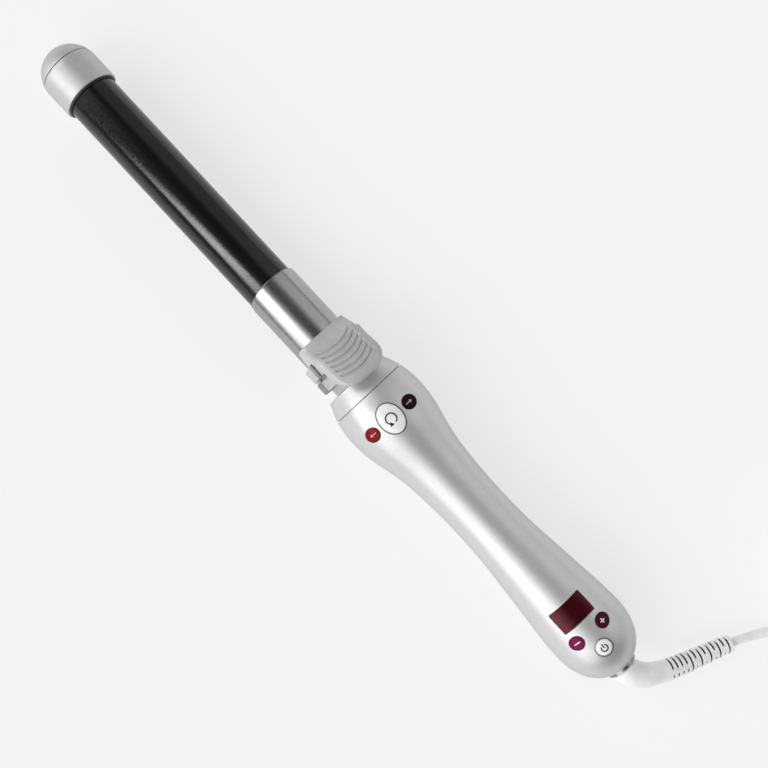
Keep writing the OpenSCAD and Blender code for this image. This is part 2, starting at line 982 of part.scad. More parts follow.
module pad_block(base_z) {
    n = 15;
    corners = [for (x = pad_stations)
                  let (b = pad_side(x))
                  each concat([[x, b, base_z]],
                              [for (u = pad_places(b)) [x, u, pad_height(x, u)]],
                              [[x, -b, base_z]])];
    polyhedron(corners, tube_faces(len(pad_stations), n), convexity = 6);
}

// Grooves run in arcs across the slope, and fade out towards the sides
module grooves() {
    bow = 19.5;
    first = pad_x1 - 9.6;
    tilt = atan((pad_high - ramp_z) / (ramp_x - pad_x0)) + 0.8;
    for (i = [0:groove_n - 1])
        let (x = first - groove_pitch * i)
        translate([x, 0, pad_top(x) - 0.65])
            rotate([0, tilt, 0])
                translate([bow, 0, 0])
                    linear_extrude(5)
                        intersection() {
                            difference() {
                                circle(bow + 0.45);
                                circle(bow - 0.45);
                            }
                            translate([-bow - 1, -10.4])
                                square([bow, 20.8]);
                        }
}

module thumb_pad() {
    skirt_z = 3.6;
    gap_z = 13.2;
    wall_x = ear_x + 0.2;
    hood_x = bracket_x + 0.5;
    color("whitesmoke")
        on_barrel()
            difference() {
                pad_block(skirt_z);
                difference() {
                    from_side(60)
                        polygon([[pad_x0 - 1, 0], [pad_x0 - 1, 25.9], [pad_x0, 25.6], [pad_x0 + 8, 23],
                                 [pad_x0 + 14, 21], [wall_x, 20.6], [wall_x, 17.6], [wall_x + 1, 16.3],
                                 [wall_x + 1, gap_z], [hood_x, gap_z], [hood_x, 0]]);
                    post(spring_x, 0, spring_top, 30, spring_seat_r);
                }
                post(spring_x, 0, spring_z, spring_top, spring_seat_r);
                bar(0, total_l, blade_ro + e);
                block(pin_x - lug_r - 0.6, pin_x + lug_r + 0.3, -lug_out - seat_gap, lug_out + seat_gap,
                      0, strap_z + strap_t + seat_gap);
                intersection() {
                    bar(wall_x, tongue_x + seat_gap, blade_ro + 1.7);
                    block(0, total_l, -7.1, 7.1, 0, 40);
                }
                grooves();
            }
}

// Clip spring: a short coil between the flange and the underside of the pad
spring_x = (flange_x + slot_x) / 2;
spring_z = barrel_r + 2.2;
spring_r = 2.9;
spring_wire = 0.8;
spring_turns = 4;
spring_top = 22.1;
spring_seat_r = spring_r + spring_wire / 2 + 0.2;

module clip_spring() {
    rings = spring_turns * 8;
    rise = spring_top - spring_z - spring_wire - 0.1;
    color("darkgray")
        on_barrel()
            sweep([for (i = [0:rings])
                      [spring_x + spring_r * cos(i * 45), spring_r * sin(i * 45),
                       spring_z + spring_wire / 2 + 0.05 + rise * i / rings]],
                  [for (i = [0:rings]) spring_wire / 2], 6);
}

// Barrel

module barrel_tube() {
    color([0.06, 0.06, 0.06])
        on_barrel()
            ring(flange_x + 2.5, rim_x + spigot_l, barrel_r, barrel_r - barrel_wall);
}

module tip_ring() {
    color("black")
        on_barrel()
            ring(rim_x - tip_ring_l, rim_x, barrel_r + 1, barrel_r);
}

dome_a = tip_dome_l + 3;
spigot_l = 11;
spigot_r = barrel_r - 2.6;
function tip_at(x) = tip_r * sqrt(max(0, 1 - pow(max(0, x - total_l + dome_a) / dome_a, 2)));

module tip_collar() {
    inner = spigot_r + seat_gap;
    color("silver")
        on_barrel()
            lathe(concat([[rim_x, barrel_r], [rim_x, tip_r - 0.4], [rim_x + 0.4, tip_r]],
                         [for (x = [dome_x - 3 : 0.75 : dome_x - 0.2]) [x, tip_at(x)]],
                         [[dome_x, tip_at(dome_x) - 0.25], [dome_x, inner], [rim_x + spigot_l, inner],
                          [rim_x + spigot_l, barrel_r]]));
}

module tip_dome() {
    color("silver")
        on_barrel()
            lathe(concat([[rim_x + spigot_l + 1, 0], [rim_x + spigot_l + 1, spigot_r], [dome_x, spigot_r],
                          [dome_x, tip_at(dome_x) - 0.25], [dome_x + 0.25, tip_at(dome_x + 0.25)]],
                         [for (a = [20:5:90]) [total_l - dome_a + dome_a * sin(a), tip_r * cos(a)]]));
}

heater_in = 6;
heater_skin = 0.9;
plate_in = 10;
plate_half = 6.5;
plate_half_t = 1.2;

module heater_bars() {
    r = barrel_r - barrel_wall - seat_gap;
    x0 = bracket_x + heater_in;
    x1 = rim_x - heater_in;
    color("lightgray")
        on_barrel()
            difference() {
                bar(x0, x1, r);
                difference() {
                    bar(x0 - 1, x1 + 1, r - heater_skin);
                    block(x0 - 1, x1 + 1, -barrel_r, barrel_r, -plate_half_t - heater_skin,
                          plate_half_t + heater_skin);
                }
                block(x0 - 1, x1 + 1, -barrel_r, barrel_r, -plate_half_t, plate_half_t);
            }
}

module heater_plate() {
    color("wheat")
        on_barrel()
            block(bracket_x + plate_in, rim_x - plate_in, -plate_half, plate_half,
                  -plate_half_t, plate_half_t);
}

module temperature_sensor() {
    color("orange")
        on_barrel()
            translate([0, 0, -3.7])
                bar(rim_x - 60, rim_x - 20, 1.5);
}

// Swivel at the back of the handle

module swivel_core() {
    color("white")
        on_axis()
            difference() {
                union() {
                    bar(0.06, rear_x + 7, swivel_r);
                    bar(rear_x + 1.3, rear_x + 2.4, 7.3);
                }
                bar(2, rear_x + 8, cord_d / 2);
            }
}

// Sweeps a round section along points, with a radius for each point
function unit(v) = v / norm(v);
function heading(p, i) = unit(p[min(i + 1, len(p) - 1)] - p[max(i - 1, 0)]);
function sides_of(t) =
    let (s = unit(cross([0, 0, 1], t)))
    [s, cross(t, s)];

module sweep(points, radii, n) {
    count = len(points);
    corners = [for (i = [0:count - 1])
                  let (f = sides_of(heading(points, i)))
                  for (k = [0:n - 1])
                      points[i] + radii[i] * (cos(k * 360 / n) * f[0] + sin(k * 360 / n) * f[1])];
    polyhedron(corners, tube_faces(count, n), convexity = 10);
}

function tube_faces(count, n) = concat(
    [[for (k = [0:n - 1]) k]],
    [for (i = [0:count - 2], k = [0:n - 1])
        let (a = i * n + k, b = i * n + (k + 1) % n, c = a + n, d = b + n)
        each [[a, c, b], [b, c, d]]],
    [[for (k = [n - 1:-1:0]) (count - 1) * n + k]]);

// Boot: a curve from the back of the handle down to the surface, slotted along its outer part
boot_start = [-total_l / 2, 0, axis_h];
boot_end = [-233, -46, 6.5];
boot_out = [-15, 0, 0];
boot_in = [11.8, 24.4, 5.6];

function curve_at(t) =
    pow(1 - t, 3) * boot_start + 3 * pow(1 - t, 2) * t * (boot_start + boot_out)
    + 3 * (1 - t) * t * t * (boot_end + boot_in) + pow(t, 3) * boot_end;

boot_steps = 60;
boot_line = [for (i = [0:boot_steps]) curve_at(i / boot_steps)];
function run_to(i) = i == 0 ? 0 : run_to(i - 1) + norm(boot_line[i] - boot_line[i - 1]);
boot_run = [for (i = [0:boot_steps]) run_to(i)];
boot_len = boot_run[boot_steps];
function place_at(s) = curve_at(lookup(s, [for (i = [0:boot_steps]) [boot_run[i], i / boot_steps]]));

slots_len = boot_pitch * boot_slots;
slot_s0 = boot_len - slots_len - 1.2;
slot_w = 0.7;
slot_deep = 1.6;
boot_gap = 0.45;     // stretch at the start that is thin, to clear the ring at the back
first_plain = 4;    // the slots nearest the handle that all lie the same way
function boot_r(s) =
    s < boot_gap ? swivel_r - 0.1 :
    s < slot_s0 ? boot_r0 + (boot_r1 - boot_r0) * (1 - cos(180 * s / slot_s0)) / 2
                : boot_r1 + (boot_r2 - boot_r1) * (s - slot_s0) / (boot_len - slot_s0);
// A slot is open on two sides and closed at two spines, which every other slot turns a quarter
function slot_turn(i) = i < first_plain || i % 2 == 1 ? 14 : 104;
function in_slot(i, a) = abs(((a - slot_turn(i) + 360) % 180) - 90) < 68;

slot_side = slot_w / 2;
slot_edges = [-slot_side - 0.02, -slot_side, slot_side, slot_side + 0.02];

boot_rings = concat(
    [for (s = [0, boot_gap - 0.01, boot_gap]) [s, -1]],
    [for (i = [1:9]) [slot_s0 * i / 10, -1]],
    [for (i = [0:boot_slots - 1], j = [0:3])
        [slot_s0 + boot_pitch * (i + 0.5) + slot_edges[j], j == 1 || j == 2 ? i : -1]],
    [[boot_len, -1]]);

// Radius of the boot at angle a of a ring, which is less inside a slot
function boot_skin(ring, a) =
    boot_r(ring[0]) - (ring[1] >= 0 && in_slot(ring[1], a) ? slot_deep : 0);
function boot_dir(s) = unit(place_at(min(boot_len, s + 0.2)) - place_at(max(0, s - 0.2)));

module cord_boot() {
    n = 20;
    corners = [for (q = boot_rings)
                  let (p = place_at(q[0]), f = sides_of(boot_dir(q[0])))
                  for (k = [0:n - 1])
                      let (a = k * 360 / n)
                      p + boot_skin(q, a) * (cos(a) * f[0] + sin(a) * f[1])];
    color("white")
        polyhedron(corners, tube_faces(len(boot_rings), n), convexity = 20);
}

// Lead: free stretch, coil of the length that is put away, tail and plug
lead_route = [[-233, -46, 6.5], [-235.1, -50.4, 5.5], [-238.2, -56, 4.3], [-241.8, -62, 3.4],
              [-246.1, -67.6, 3.1], [-251.8, -73.2, 3], [-258.1, -78.6, 3.1]];
coil_mid = [-246, -112.6];
coil_z = 3.25;
coil_gap = 0.5;
coil_pitch = cord_d + coil_gap;
coil_layers = 4;
coil_a0 = 130;
coil_a1 = 75;
coil_turns = 14 + (coil_a1 - coil_a0) / 360;
layer_turns = coil_turns / coil_layers;
coil_outer = 33.9;
loop_rings = 24;
coil_count = round(coil_turns * loop_rings);

function coil_r(t) =
    let (layer = floor(min(t, coil_turns - 0.001) / layer_turns), part = t - layer * layer_turns)
    coil_outer - coil_pitch * (layer % 2 == 0 ? part : layer_turns - part);
function coil_rise(t, i = 1) =
    i >= coil_layers ? 0
                     : min(1, max(0, (t - layer_turns * i + 0.25) / 0.5)) + coil_rise(t, i + 1);
function coil_point(t) =
    let (a = coil_a0 + 360 * t)
    [coil_mid[0] + coil_r(t) * cos(a), coil_mid[1] + coil_r(t) * sin(a),
     coil_z + coil_pitch * coil_rise(t)];

coil_line = [for (i = [0:coil_count]) coil_point(coil_turns * i / coil_count)];
coil_first = coil_line[0];
coil_last = coil_line[coil_count];
start_dir = [cos(coil_a0 + 90), sin(coil_a0 + 90), 0];
end_dir = [cos(coil_a1 + 90), sin(coil_a1 + 90), 0];

module tube_between(points, d, n) {
    sweep(points, [for (p = points) d / 2], n);
}

module cord_lead() {
    color("white")
        tube_between(concat(lead_route, [coil_first - cord_d * start_dir]), cord_d, 10);
}

module cord_coil() {
    color("white")
        tube_between(concat([coil_first - cord_d * start_dir], coil_line, [coil_last + cord_d * end_dir]),
                     cord_d, 6);
}

tail_route = [[-244.4, -77.9, 18.25], [-250.4, -76.9, 18.5], [-256.5, -76.8, 19.2], [-262.3, -78.1, 20.3],
              [-267.5, -80.8, 21.6], [-271.7, -85, 23.1], [-274.3, -90.2, 24.6], [-275.1, -96, 25.9],
              [-274.2, -102, 26.7], [-271.6, -107.4, 27.1], [-269.9, -109.9, 27.1]];

module cord_tail() {
    color("white")
        tube_between(concat([coil_last + cord_d * end_dir], tail_route), cord_d, 10);
}

module coil_tie() {
    x0 = coil_mid[0] + coil_outer - coil_pitch * layer_turns - cord_d / 2 - 1;
    x1 = coil_mid[0] + coil_outer + cord_d / 2 + 0.6;
    z1 = coil_z + coil_pitch * (coil_layers - 1) + cord_d / 2 + 0.3;
    t = 0.7;
    color("gainsboro")
        translate([0, coil_mid[1] + 4, 0])
            rotate([90, 0, 0])
                linear_extrude(8)
                    difference() {
                        rounded(x0 - t, x1 + t, 0.05, z1 + t, 2.2);
                        rounded(x0, x1, 0.05 + t, z1, 1.5);
                    }
}

module rounded(x0, x1, z0, z1, r) {
    translate([x0 + r, z0])
        square([x1 - x0 - 2 * r, z1 - z0]);
    translate([x0, z0 + r])
        square([x1 - x0, z1 - z0 - 2 * r]);
    for (x = [x0 + r, x1 - r], z = [z0 + r, z1 - r])
        translate([x, z])
            circle(r, $fn = 32);
}

// Plug with two flat blades, lying on the coil
plug_at = [-269.9, -109.9, 27.1];
plug_turn = -55;
plug_l = 26;
plug_w = 20;
plug_h = 13;

module plug_body() {
    w = plug_w / 2;
    color("white")
        translate(plug_at)
            rotate([0, 0, plug_turn])
            difference() {
                union() {
                    lathe([[0, 0], [0, 3.4], [8, 4.6], [8, 0]]);
                    intersection() {
                        translate([8 - e, 0, 0])
                            linear_extrude(plug_h, center = true)
                                polygon([[0, -5], [6, 1 - w], [8, -w], [plug_l - 8, -w],
                                         [plug_l - 8, w], [8, w], [6, w - 1], [0, 5]]);
                        from_side(40)
                            polygon([[7, -4.5], [13, -plug_h / 2], [plug_l + 1, -plug_h / 2],
                                     [plug_l + 1, plug_h / 2], [13, plug_h / 2], [7, 4.5]]);
                    }
                }
                for (s = [-1, 1])
                    block(plug_l - 5, plug_l + 1, s * 6.35 - 0.75, s * 6.35 + 0.75, -3.2, 3.2);
            }
}

module plug_blades() {
    color("silver")
        translate(plug_at)
            rotate([0, 0, plug_turn])
            for (s = [-1, 1])
                difference() {
                    block(plug_l - 5, plug_l + 17, s * 6.35 - 0.75, s * 6.35 + 0.75, -3.2, 3.2);
                    translate([plug_l + 12.5, s * 6.35, 0])
                        rotate([90, 0, 0])
                            cylinder(h = 4, r = 1.5, center = true, $fn = 32);
                }
}

// Length of the lead and the least gap between turns of the coil
function length_of(p, i = 0) = i >= len(p) - 1 ? 0 : norm(p[i + 1] - p[i]) + length_of(p, i + 1);
function least_gap(p, skip) =
    min([for (i = [0:4:len(p) - 1 - skip], j = [i + skip:1:len(p) - 1]) norm(p[i] - p[j])]) - cord_d;
echo(cord_length = length_of(lead_route) + length_of(coil_line) + length_of(tail_route) + 14);
echo(coil_least_gap = least_gap(coil_line, 12));
echo(boot_length = boot_len, total_length = total_l);

handle_shell_top();
handle_shell_bottom();
shell_screws();
nose_ring();
front_bearing();
base_collar();
display_window();
display_module();
main_board();
rear_switches();
board_parts();
power_button_ring();
front_board();
front_switches();
gear_frame();
rear_bearing();
cluster_axle();
motor_gearhead();
motor_can();
brush_block();
brushes();
barrel_tube();
tip_ring();
tip_collar();
tip_dome();
heater_bars();
heater_plate();
temperature_sensor();
clip_bracket();
hinge_pins();
drive_shaft();
slip_ring_drum();
slip_rings();
driven_gear();
clip_spring();
clip_blade();
clip_carrier();
clip_rivets();
thumb_pad();
motor_shaft();
motor_pinion();
cluster_gear();
go_button();
left_button();
right_button();
plus_button();
minus_button();
power_button();
swivel_core();
cord_boot();
cord_lead();
cord_coil();
cord_tail();
coil_tie();
plug_body();
plug_blades();
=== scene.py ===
"""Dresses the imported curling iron: smooth detailed pieces, materials, floor, light and camera."""
from math import atan2, copysign, cos, hypot, pi, radians, sin, sqrt, tau

import bmesh
import bpy
from mathutils import Matrix, Vector


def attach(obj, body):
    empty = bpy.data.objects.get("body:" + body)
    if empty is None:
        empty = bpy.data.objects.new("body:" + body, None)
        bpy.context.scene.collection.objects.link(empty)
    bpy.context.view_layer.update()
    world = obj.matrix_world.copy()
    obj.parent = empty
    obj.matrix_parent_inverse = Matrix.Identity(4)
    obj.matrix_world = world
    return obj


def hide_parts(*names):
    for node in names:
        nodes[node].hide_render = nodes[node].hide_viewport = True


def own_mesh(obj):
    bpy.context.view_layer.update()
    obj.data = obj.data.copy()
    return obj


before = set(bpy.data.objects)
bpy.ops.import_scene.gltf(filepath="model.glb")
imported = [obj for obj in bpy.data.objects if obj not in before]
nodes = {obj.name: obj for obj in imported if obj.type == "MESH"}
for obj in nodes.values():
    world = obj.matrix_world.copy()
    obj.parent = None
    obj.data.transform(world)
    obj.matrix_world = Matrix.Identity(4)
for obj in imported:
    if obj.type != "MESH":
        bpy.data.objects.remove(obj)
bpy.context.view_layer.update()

# Sizes shared with the part's source, in millimetres
AXIS_H = 19.6
TURN = radians(15)
TOTAL = 400.5
HALF = TOTAL / 2
BULB_X = 25.0
BULB_R = 20.1
WAIST_R = 14.8
SHOULDER_R = 22.0
SEAM_R = 20.5
SHELL_WALL = 2.2
REAR_BORE = 7.7
REAR_X = 1.8
SEAM_X = 178.0
NOSE_X = 187.0
NOSE_R = 16.5
END_R = 8.1
NECK_R = 12.0
FLANGE_X = 191.5
SLOT_X = 197.2
EAR_X = 198.6
BRACKET_X = 205.7
RIM_X = 372.5
DOME_X = 389.5
BARREL_R = 12.7
TIP_R = 14.5
EAR_HALF = 17.7
EAR_LOW = 5.0
EAR_WIDE = 7.0
EAR_LEAN = 0.22
LUG_TOP = 5.2
PIN_X = 202.15
BLADE_RI = 13.2
BLADE_RO = 14.0
BLADE_X0 = 206.3
BLADE_X1 = PIN_X + 46.3
PAD_X1 = PIN_X + 12
PAD_LONG = 30.2
PAD_X0 = PAD_X1 - PAD_LONG
PAD_HALF = 14.0
PAD_HIGH = 27.9
PAD_LIP = 15.2
GROOVE_PITCH = 2.96
CORD_D = 4.5


# Small helpers

def axis_point(x, y, z):
    """A point given from the back of the handle and from the long axis, in metres."""
    return Vector(((x - HALF) / 1000, y / 1000, (z + AXIS_H) / 1000))


def barrel_point(x, u, w):
    """The same for the barrel's own directions, which are turned at rest."""
    y = u * cos(TURN) - w * sin(TURN)
    z = u * sin(TURN) + w * cos(TURN)
    return axis_point(x, y, z)


def metres(x, y, z):
    """A point given in the frame's own directions, in metres."""
    return Vector((x, y, z)) / 1000


def smooth_step(a, b, x):
    t = max(0.0, min(1.0, (x - a) / (b - a)))
    return t * t * (3 - 2 * t)


def round_off(d, r):
    """How far a rounded edge lies below its corner at a distance from it."""
    return 0 if d >= r else r - sqrt(max(0, r * r - (r - d) ** 2))


def put(name, data):
    """A new object in the scene."""
    obj = bpy.data.objects.new(name, data)
    bpy.context.scene.collection.objects.link(obj)
    return obj


def shade(obj, angle):
    """Smooth shading, but for edges sharper than the angle."""
    obj.data.shade_smooth()
    if angle < 180:
        obj.data.set_sharp_from_angle(angle=radians(angle))


def build(name, points, faces, place=axis_point, smooth_angle=40):
    mesh = bpy.data.meshes.new(name)
    mesh.from_pydata([place(*p) for p in points], [], faces)
    mesh.update()
    obj = put(name, mesh)
    shade(obj, smooth_angle)
    return obj


def grid_faces(rows, cols, wrap=False):
    """Quads of a grid of points laid row by row; wrap joins each row's ends."""
    faces = []
    for i in range(rows - 1):
        for k in range(cols if wrap else cols - 1):
            a = i * cols + k
            b = i * cols + (k + 1) % cols
            faces.append((a, b, b + cols, a + cols))
    return faces


def capped_faces(rows, cols):
    """Round rows, closed by a flat face at both ends."""
    ends = [tuple(range(cols - 1, -1, -1)), tuple(range((rows - 1) * cols, rows * cols))]
    return grid_faces(rows, cols, wrap=True) + ends


def ring_faces(rows, cols):
    """Round rows, the last joined to the first."""
    last = (rows - 1) * cols
    closing = [(last + k, last + (k + 1) % cols, (k + 1) % cols, k) for k in range(cols)]
    return grid_faces(rows, cols, wrap=True) + closing


def slab_faces(rows, cols):
    """Two grids laid one after the other, joined along their edge."""
    block = rows * cols
    faces = []
    for f in grid_faces(rows, cols):
        faces += [f, tuple(i + block for i in f[::-1])]
    edge = [i * cols for i in range(rows)] + [(rows - 1) * cols + k for k in range(1, cols)]
    edge += [i * cols + cols - 1 for i in range(rows - 2, -1, -1)] + list(range(cols - 2, 0, -1))
    return faces + [(a, b, b + block, a + block) for a, b in zip(edge, edge[1:] + edge[:1])]


def turned(profile, segments):
    """Points round the long axis for each (x, radius) of an outline."""
    points = []
    for x, r in profile:
        for k in range(segments):
            a = tau * k / segments
            points.append((x, r * cos(a), r * sin(a)))
    return points


def ring_block(profile, segments=144):
    """A turned block with a bore: the last point of its outline joins the first."""
    return turned(profile, segments), ring_faces(len(profile), segments)


def ring_lathe(name, profile, place=axis_point, segments=144):
    return build(name, *ring_block(profile, segments), place, 35)


def merged(blocks):
    """The points and faces of several blocks in one list each."""
    points = []
    faces = []
    for block_points, block_faces in blocks:
        start = len(points)
        points += block_points
        faces += [tuple(i + start for i in f) for f in block_faces]
    return points, faces


def face_outwards(obj):
    """Turns a piece's faces outwards where they were laid inside out."""
    work = bmesh.new()
    work.from_mesh(obj.data)
    if work.calc_volume(signed=True) < 0:
        bmesh.ops.recalc_face_normals(work, faces=work.faces)
        work.to_mesh(obj.data)
    work.free()


def keep(obj, body, slot, mat, *stands_for):
    """Gives a finished piece its material, its body and the nodes that it stands for."""
    if obj.type == "MESH":
        face_outwards(obj)
    obj.data.materials.clear()
    obj.data.materials.append(mat)
    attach(obj, body)
    if stands_for:
        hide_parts(*stands_for)
    return obj


def bake_modifiers(obj):
    graph = bpy.context.evaluated_depsgraph_get()
    mesh = bpy.data.meshes.new_from_object(obj.evaluated_get(graph))
    old = obj.data
    obj.modifiers.clear()
    obj.data = mesh
    bpy.data.meshes.remove(old)


def bend(a, b, x):
    """Height at x of a smooth curve between two points, each given as (x, height, slope)."""
    h = b[0] - a[0]
    t = (x - a[0]) / h
    return (a[1] * (1 + 2 * t) * (1 - t) ** 2 + a[2] * h * t * (1 - t) ** 2
            + b[1] * t * t * (3 - 2 * t) + b[2] * h * t * t * (t - 1))


CURVE = [(BULB_X, BULB_R, 0), (0.276 * SEAM_X, (BULB_R + WAIST_R) / 2 + 0.85, -0.104),
         (0.412 * SEAM_X, WAIST_R + 1.2, -0.1), (0.559 * SEAM_X, WAIST_R, 0),
         (0.736 * SEAM_X, WAIST_R + 1.5, 0.104), (0.837 * SEAM_X, SHOULDER_R - 2.2, 0.236),
         (SEAM_X - 12.5, SHOULDER_R, 0), (SEAM_X, SEAM_R, -0.24)]


def handle_r(x):
    """Radius of the handle's outside at a station."""
    if x < BULB_X:
        return max(END_R, BULB_R * (1 - ((BULB_X - x) / BULB_X) ** 2.2) ** (1 / 2.2))
    for a, b in zip(CURVE, CURVE[1:]):
        if x <= b[0]:
            return bend(a, b, x)
    return SEAM_R


def handle_z(x, y):
    """Height of the handle's top over the long axis."""
    return sqrt(max(0.01, handle_r(x) ** 2 - y * y))


# Materials, all from nodes

def set_inputs(node, values):
    for name, value in values.items():
        node.inputs[name].default_value = value


def shader_of(mat):
    return mat.node_tree.nodes["Principled BSDF"]


def new_material(name, color, metallic, roughness, coat=0.0, coat_roughness=0.03, ior=1.5):
    mat = bpy.data.materials.new(name)
    mat.use_nodes = True
    set_inputs(shader_of(mat), {"Base Color": (*color, 1), "Metallic": metallic, "Roughness": roughness,
                                "IOR": ior, "Coat Weight": coat, "Coat Roughness": coat_roughness})
    return mat


def texture_at(mat, scale, detail=2.0, kind="ShaderNodeTexNoise", stretch=None):
    tree = mat.node_tree
    place = tree.nodes.new("ShaderNodeTexCoord").outputs["Object"]
    if stretch is not None:
        mapping = tree.nodes.new("ShaderNodeMapping")
        mapping.inputs["Scale"].default_value = stretch
        tree.links.new(place, mapping.inputs["Vector"])
        place = mapping.outputs["Vector"]
    tex = tree.nodes.new(kind)
    set_inputs(tex, {"Scale": scale, "Detail": detail})
    tree.links.new(place, tex.inputs["Vector"])
    return tex


def ramp_color(mat, level, low, high):
    """Base colour between two stops of (position, colour), by a texture's output."""
    tree = mat.node_tree
    ramp = tree.nodes.new("ShaderNodeValToRGB")
    for element, (position, color) in zip(ramp.color_ramp.elements, (low, high)):
        element.position = position
        element.color = (*color, 1)
    tree.links.new(level, ramp.inputs["Fac"])
    tree.links.new(ramp.outputs["Color"], shader_of(mat).inputs["Base Color"])


def vary_color(mat, scale, dark, light):
    """Colour drifts between two close shades with a noise of the given scale."""
    ramp_color(mat, texture_at(mat, scale).outputs["Fac"], (0.35, dark), (0.65, light))


def vary_roughness(mat, scale, low, high):
    tree = mat.node_tree
    span = tree.nodes.new("ShaderNodeMapRange")
    set_inputs(span, {"From Min": 0.3, "From Max": 0.7, "To Min": low, "To Max": high})
    tree.links.new(texture_at(mat, scale, detail=3.0).outputs["Fac"], span.inputs["Value"])
    tree.links.new(span.outputs["Result"], shader_of(mat).inputs["Roughness"])


def add_bump(mat, scale, strength, distance=0.0001, detail=2.0, stretch=None):
    tree = mat.node_tree
    bump = tree.nodes.new("ShaderNodeBump")
    set_inputs(bump, {"Strength": strength, "Distance": distance})
    tree.links.new(texture_at(mat, scale, detail, stretch=stretch).outputs["Fac"], bump.inputs["Height"])
    tree.links.new(bump.outputs["Normal"], shader_of(mat).inputs["Normal"])


def satin_silver(name, value, roughness):
    mat = new_material(name, (value, value, value * 1.005), 0.64, roughness)
    set_inputs(shader_of(mat), {"Specular IOR Level": 0.25, "Specular Tint": (0.6, 0.6, 0.6, 1)})
    vary_color(mat, 3200, (value * 0.93,) * 3, (min(1, value * 1.06),) * 3)
    vary_roughness(mat, 900, roughness - 0.03, roughness + 0.05)
    add_bump(mat, 2600, 0.05, 0.00005)
    return mat


def moulded(name, color, roughness=0.42, metallic=0.0, bump=0.06, coat=0.0):
    mat = new_material(name, color, metallic, roughness, coat=coat, coat_roughness=0.2)
    vary_color(mat, 220, tuple(c * 0.95 for c in color), tuple(min(1, c * 1.04) for c in color))
    vary_roughness(mat, 500, roughness - 0.04, roughness + 0.06)
    add_bump(mat, 1400, bump, 0.00006)
    return mat


def button_plastic(name, color):
    mat = moulded(name, color, 0.22, bump=0.01)
    shader_of(mat).inputs["Specular IOR Level"].default_value = 0.1
    return mat


def metal(name, color, roughness, streak=None, bump=0.04):
    mat = new_material(name, color, 1.0, roughness)
    vary_color(mat, 900, tuple(c * 0.94 for c in color), color)
    vary_roughness(mat, 700, max(0.02, roughness - 0.04), roughness + 0.06)
    add_bump(mat, 500, bump, 0.00003, stretch=streak)
    return mat


silver = satin_silver("satin_silver", 0.68, 0.4)
tip_silver = satin_silver("tip_satin_silver", 0.62, 0.46)
light_grey = moulded("light_grey_plastic", (0.53, 0.53, 0.534), 0.34, metallic=0.15, bump=0.04, coat=0.15)
trim = metal("trim_silver", (0.45, 0.45, 0.456), 0.2)
steel = metal("plain_steel", (0.6, 0.6, 0.61), 0.3, streak=(1, 12, 12))
blade_steel = metal("bright_blade", (0.41, 0.41, 0.413), 0.2, streak=(0.4, 30, 30), bump=0.02)
black_plastic = moulded("black_plastic", (0.02, 0.02, 0.02), 0.45)
ring_grey = metal("ring_grey", (0.42, 0.42, 0.43), 0.25)
vinyl = moulded("white_vinyl", (0.93, 0.93, 0.93), 0.42, bump=0.03)
boot_vinyl = moulded("boot_vinyl", (0.94, 0.94, 0.94), 0.38, bump=0.03)
tie_grey = moulded("tie_grey", (0.55, 0.55, 0.55), 0.6)
# Near-black for the deep faces inside the boot's slots: painted shade, since the white vinyl there only lies in
# shadow
slot_painted_shade = moulded("slot_painted_shadow", (0.012, 0.012, 0.012), 0.8)
button_white = moulded("button_white", (0.97, 0.97, 0.97), 0.25, bump=0.01, coat=0.3)
mark_dark = moulded("mark_dark", (0.006, 0.006, 0.007), 0.5)
mark_white = moulded("mark_white", (0.8, 0.8, 0.8), 0.5)
mark_pale = moulded("mark_pale", (0.5, 0.42, 0.42), 0.5)


# Gloss black coating with fine orange peel and sparse pale speckle
coating = new_material("gloss_black_coating", (0.004, 0.004, 0.005), 0.0, 0.1, ior=1.53)
ramp_color(coating, texture_at(coating, 1500, kind="ShaderNodeTexVoronoi").outputs["Distance"],
           (0.06, (0.03, 0.03, 0.032)), (0.16, (0.005, 0.005, 0.006)))
vary_roughness(coating, 600, 0.06, 0.15)
add_bump(coating, 1300, 0.55, 0.00007, detail=3)

lens_red = new_material("lens_red", (0.22, 0.002, 0.012), 0.0, 0.04, ior=1.65)
set_inputs(shader_of(lens_red), {"Transmission Weight": 0.85, "Specular Tint": (1, 0.4, 0.5, 1)})
vary_roughness(lens_red, 300, 0.03, 0.06)
panel_black = moulded("panel_black", (0.004, 0.002, 0.003), 0.4)
panel_red = moulded("panel_red", (0.35, 0.01, 0.03), 0.5)
segment_dim = moulded("segment_dim", (0.16, 0.035, 0.04), 0.5)

# CAD nodes that keep their own shape
for names, mat in [
        ("shell_screws cluster_axle gear_frame motor_gearhead motor_can motor_shaft hinge_pins clip_spring "
         "clip_carrier clip_rivets", steel),
        ("front_bearing rear_bearing brushes slip_rings motor_pinion", metal("bronze", (0.62, 0.44, 0.2), 0.35)),
        ("display_module rear_switches front_switches brush_block slip_ring_drum drive_shaft", black_plastic),
        ("main_board front_board", moulded("lacquered_board", (0.02, 0.12, 0.05), 0.3, coat=0.4)),
        ("board_parts", moulded("brown_case", (0.2, 0.1, 0.05), 0.4)),
        ("heater_bars", metal("plain_aluminium", (0.75, 0.75, 0.76), 0.35)),
        ("heater_plate", moulded("pale_ceramic", (0.7, 0.66, 0.56), 0.6)),
        ("temperature_sensor", moulded("orange_sleeve", (0.6, 0.25, 0.05), 0.5)),
        ("driven_gear cluster_gear", moulded("ivory_nylon", (0.72, 0.7, 0.6), 0.5)),
        ("swivel_core", vinyl)]:
    for node in names.split():
        materials = nodes[node].data.materials
        materials.clear()
        materials.append(mat)


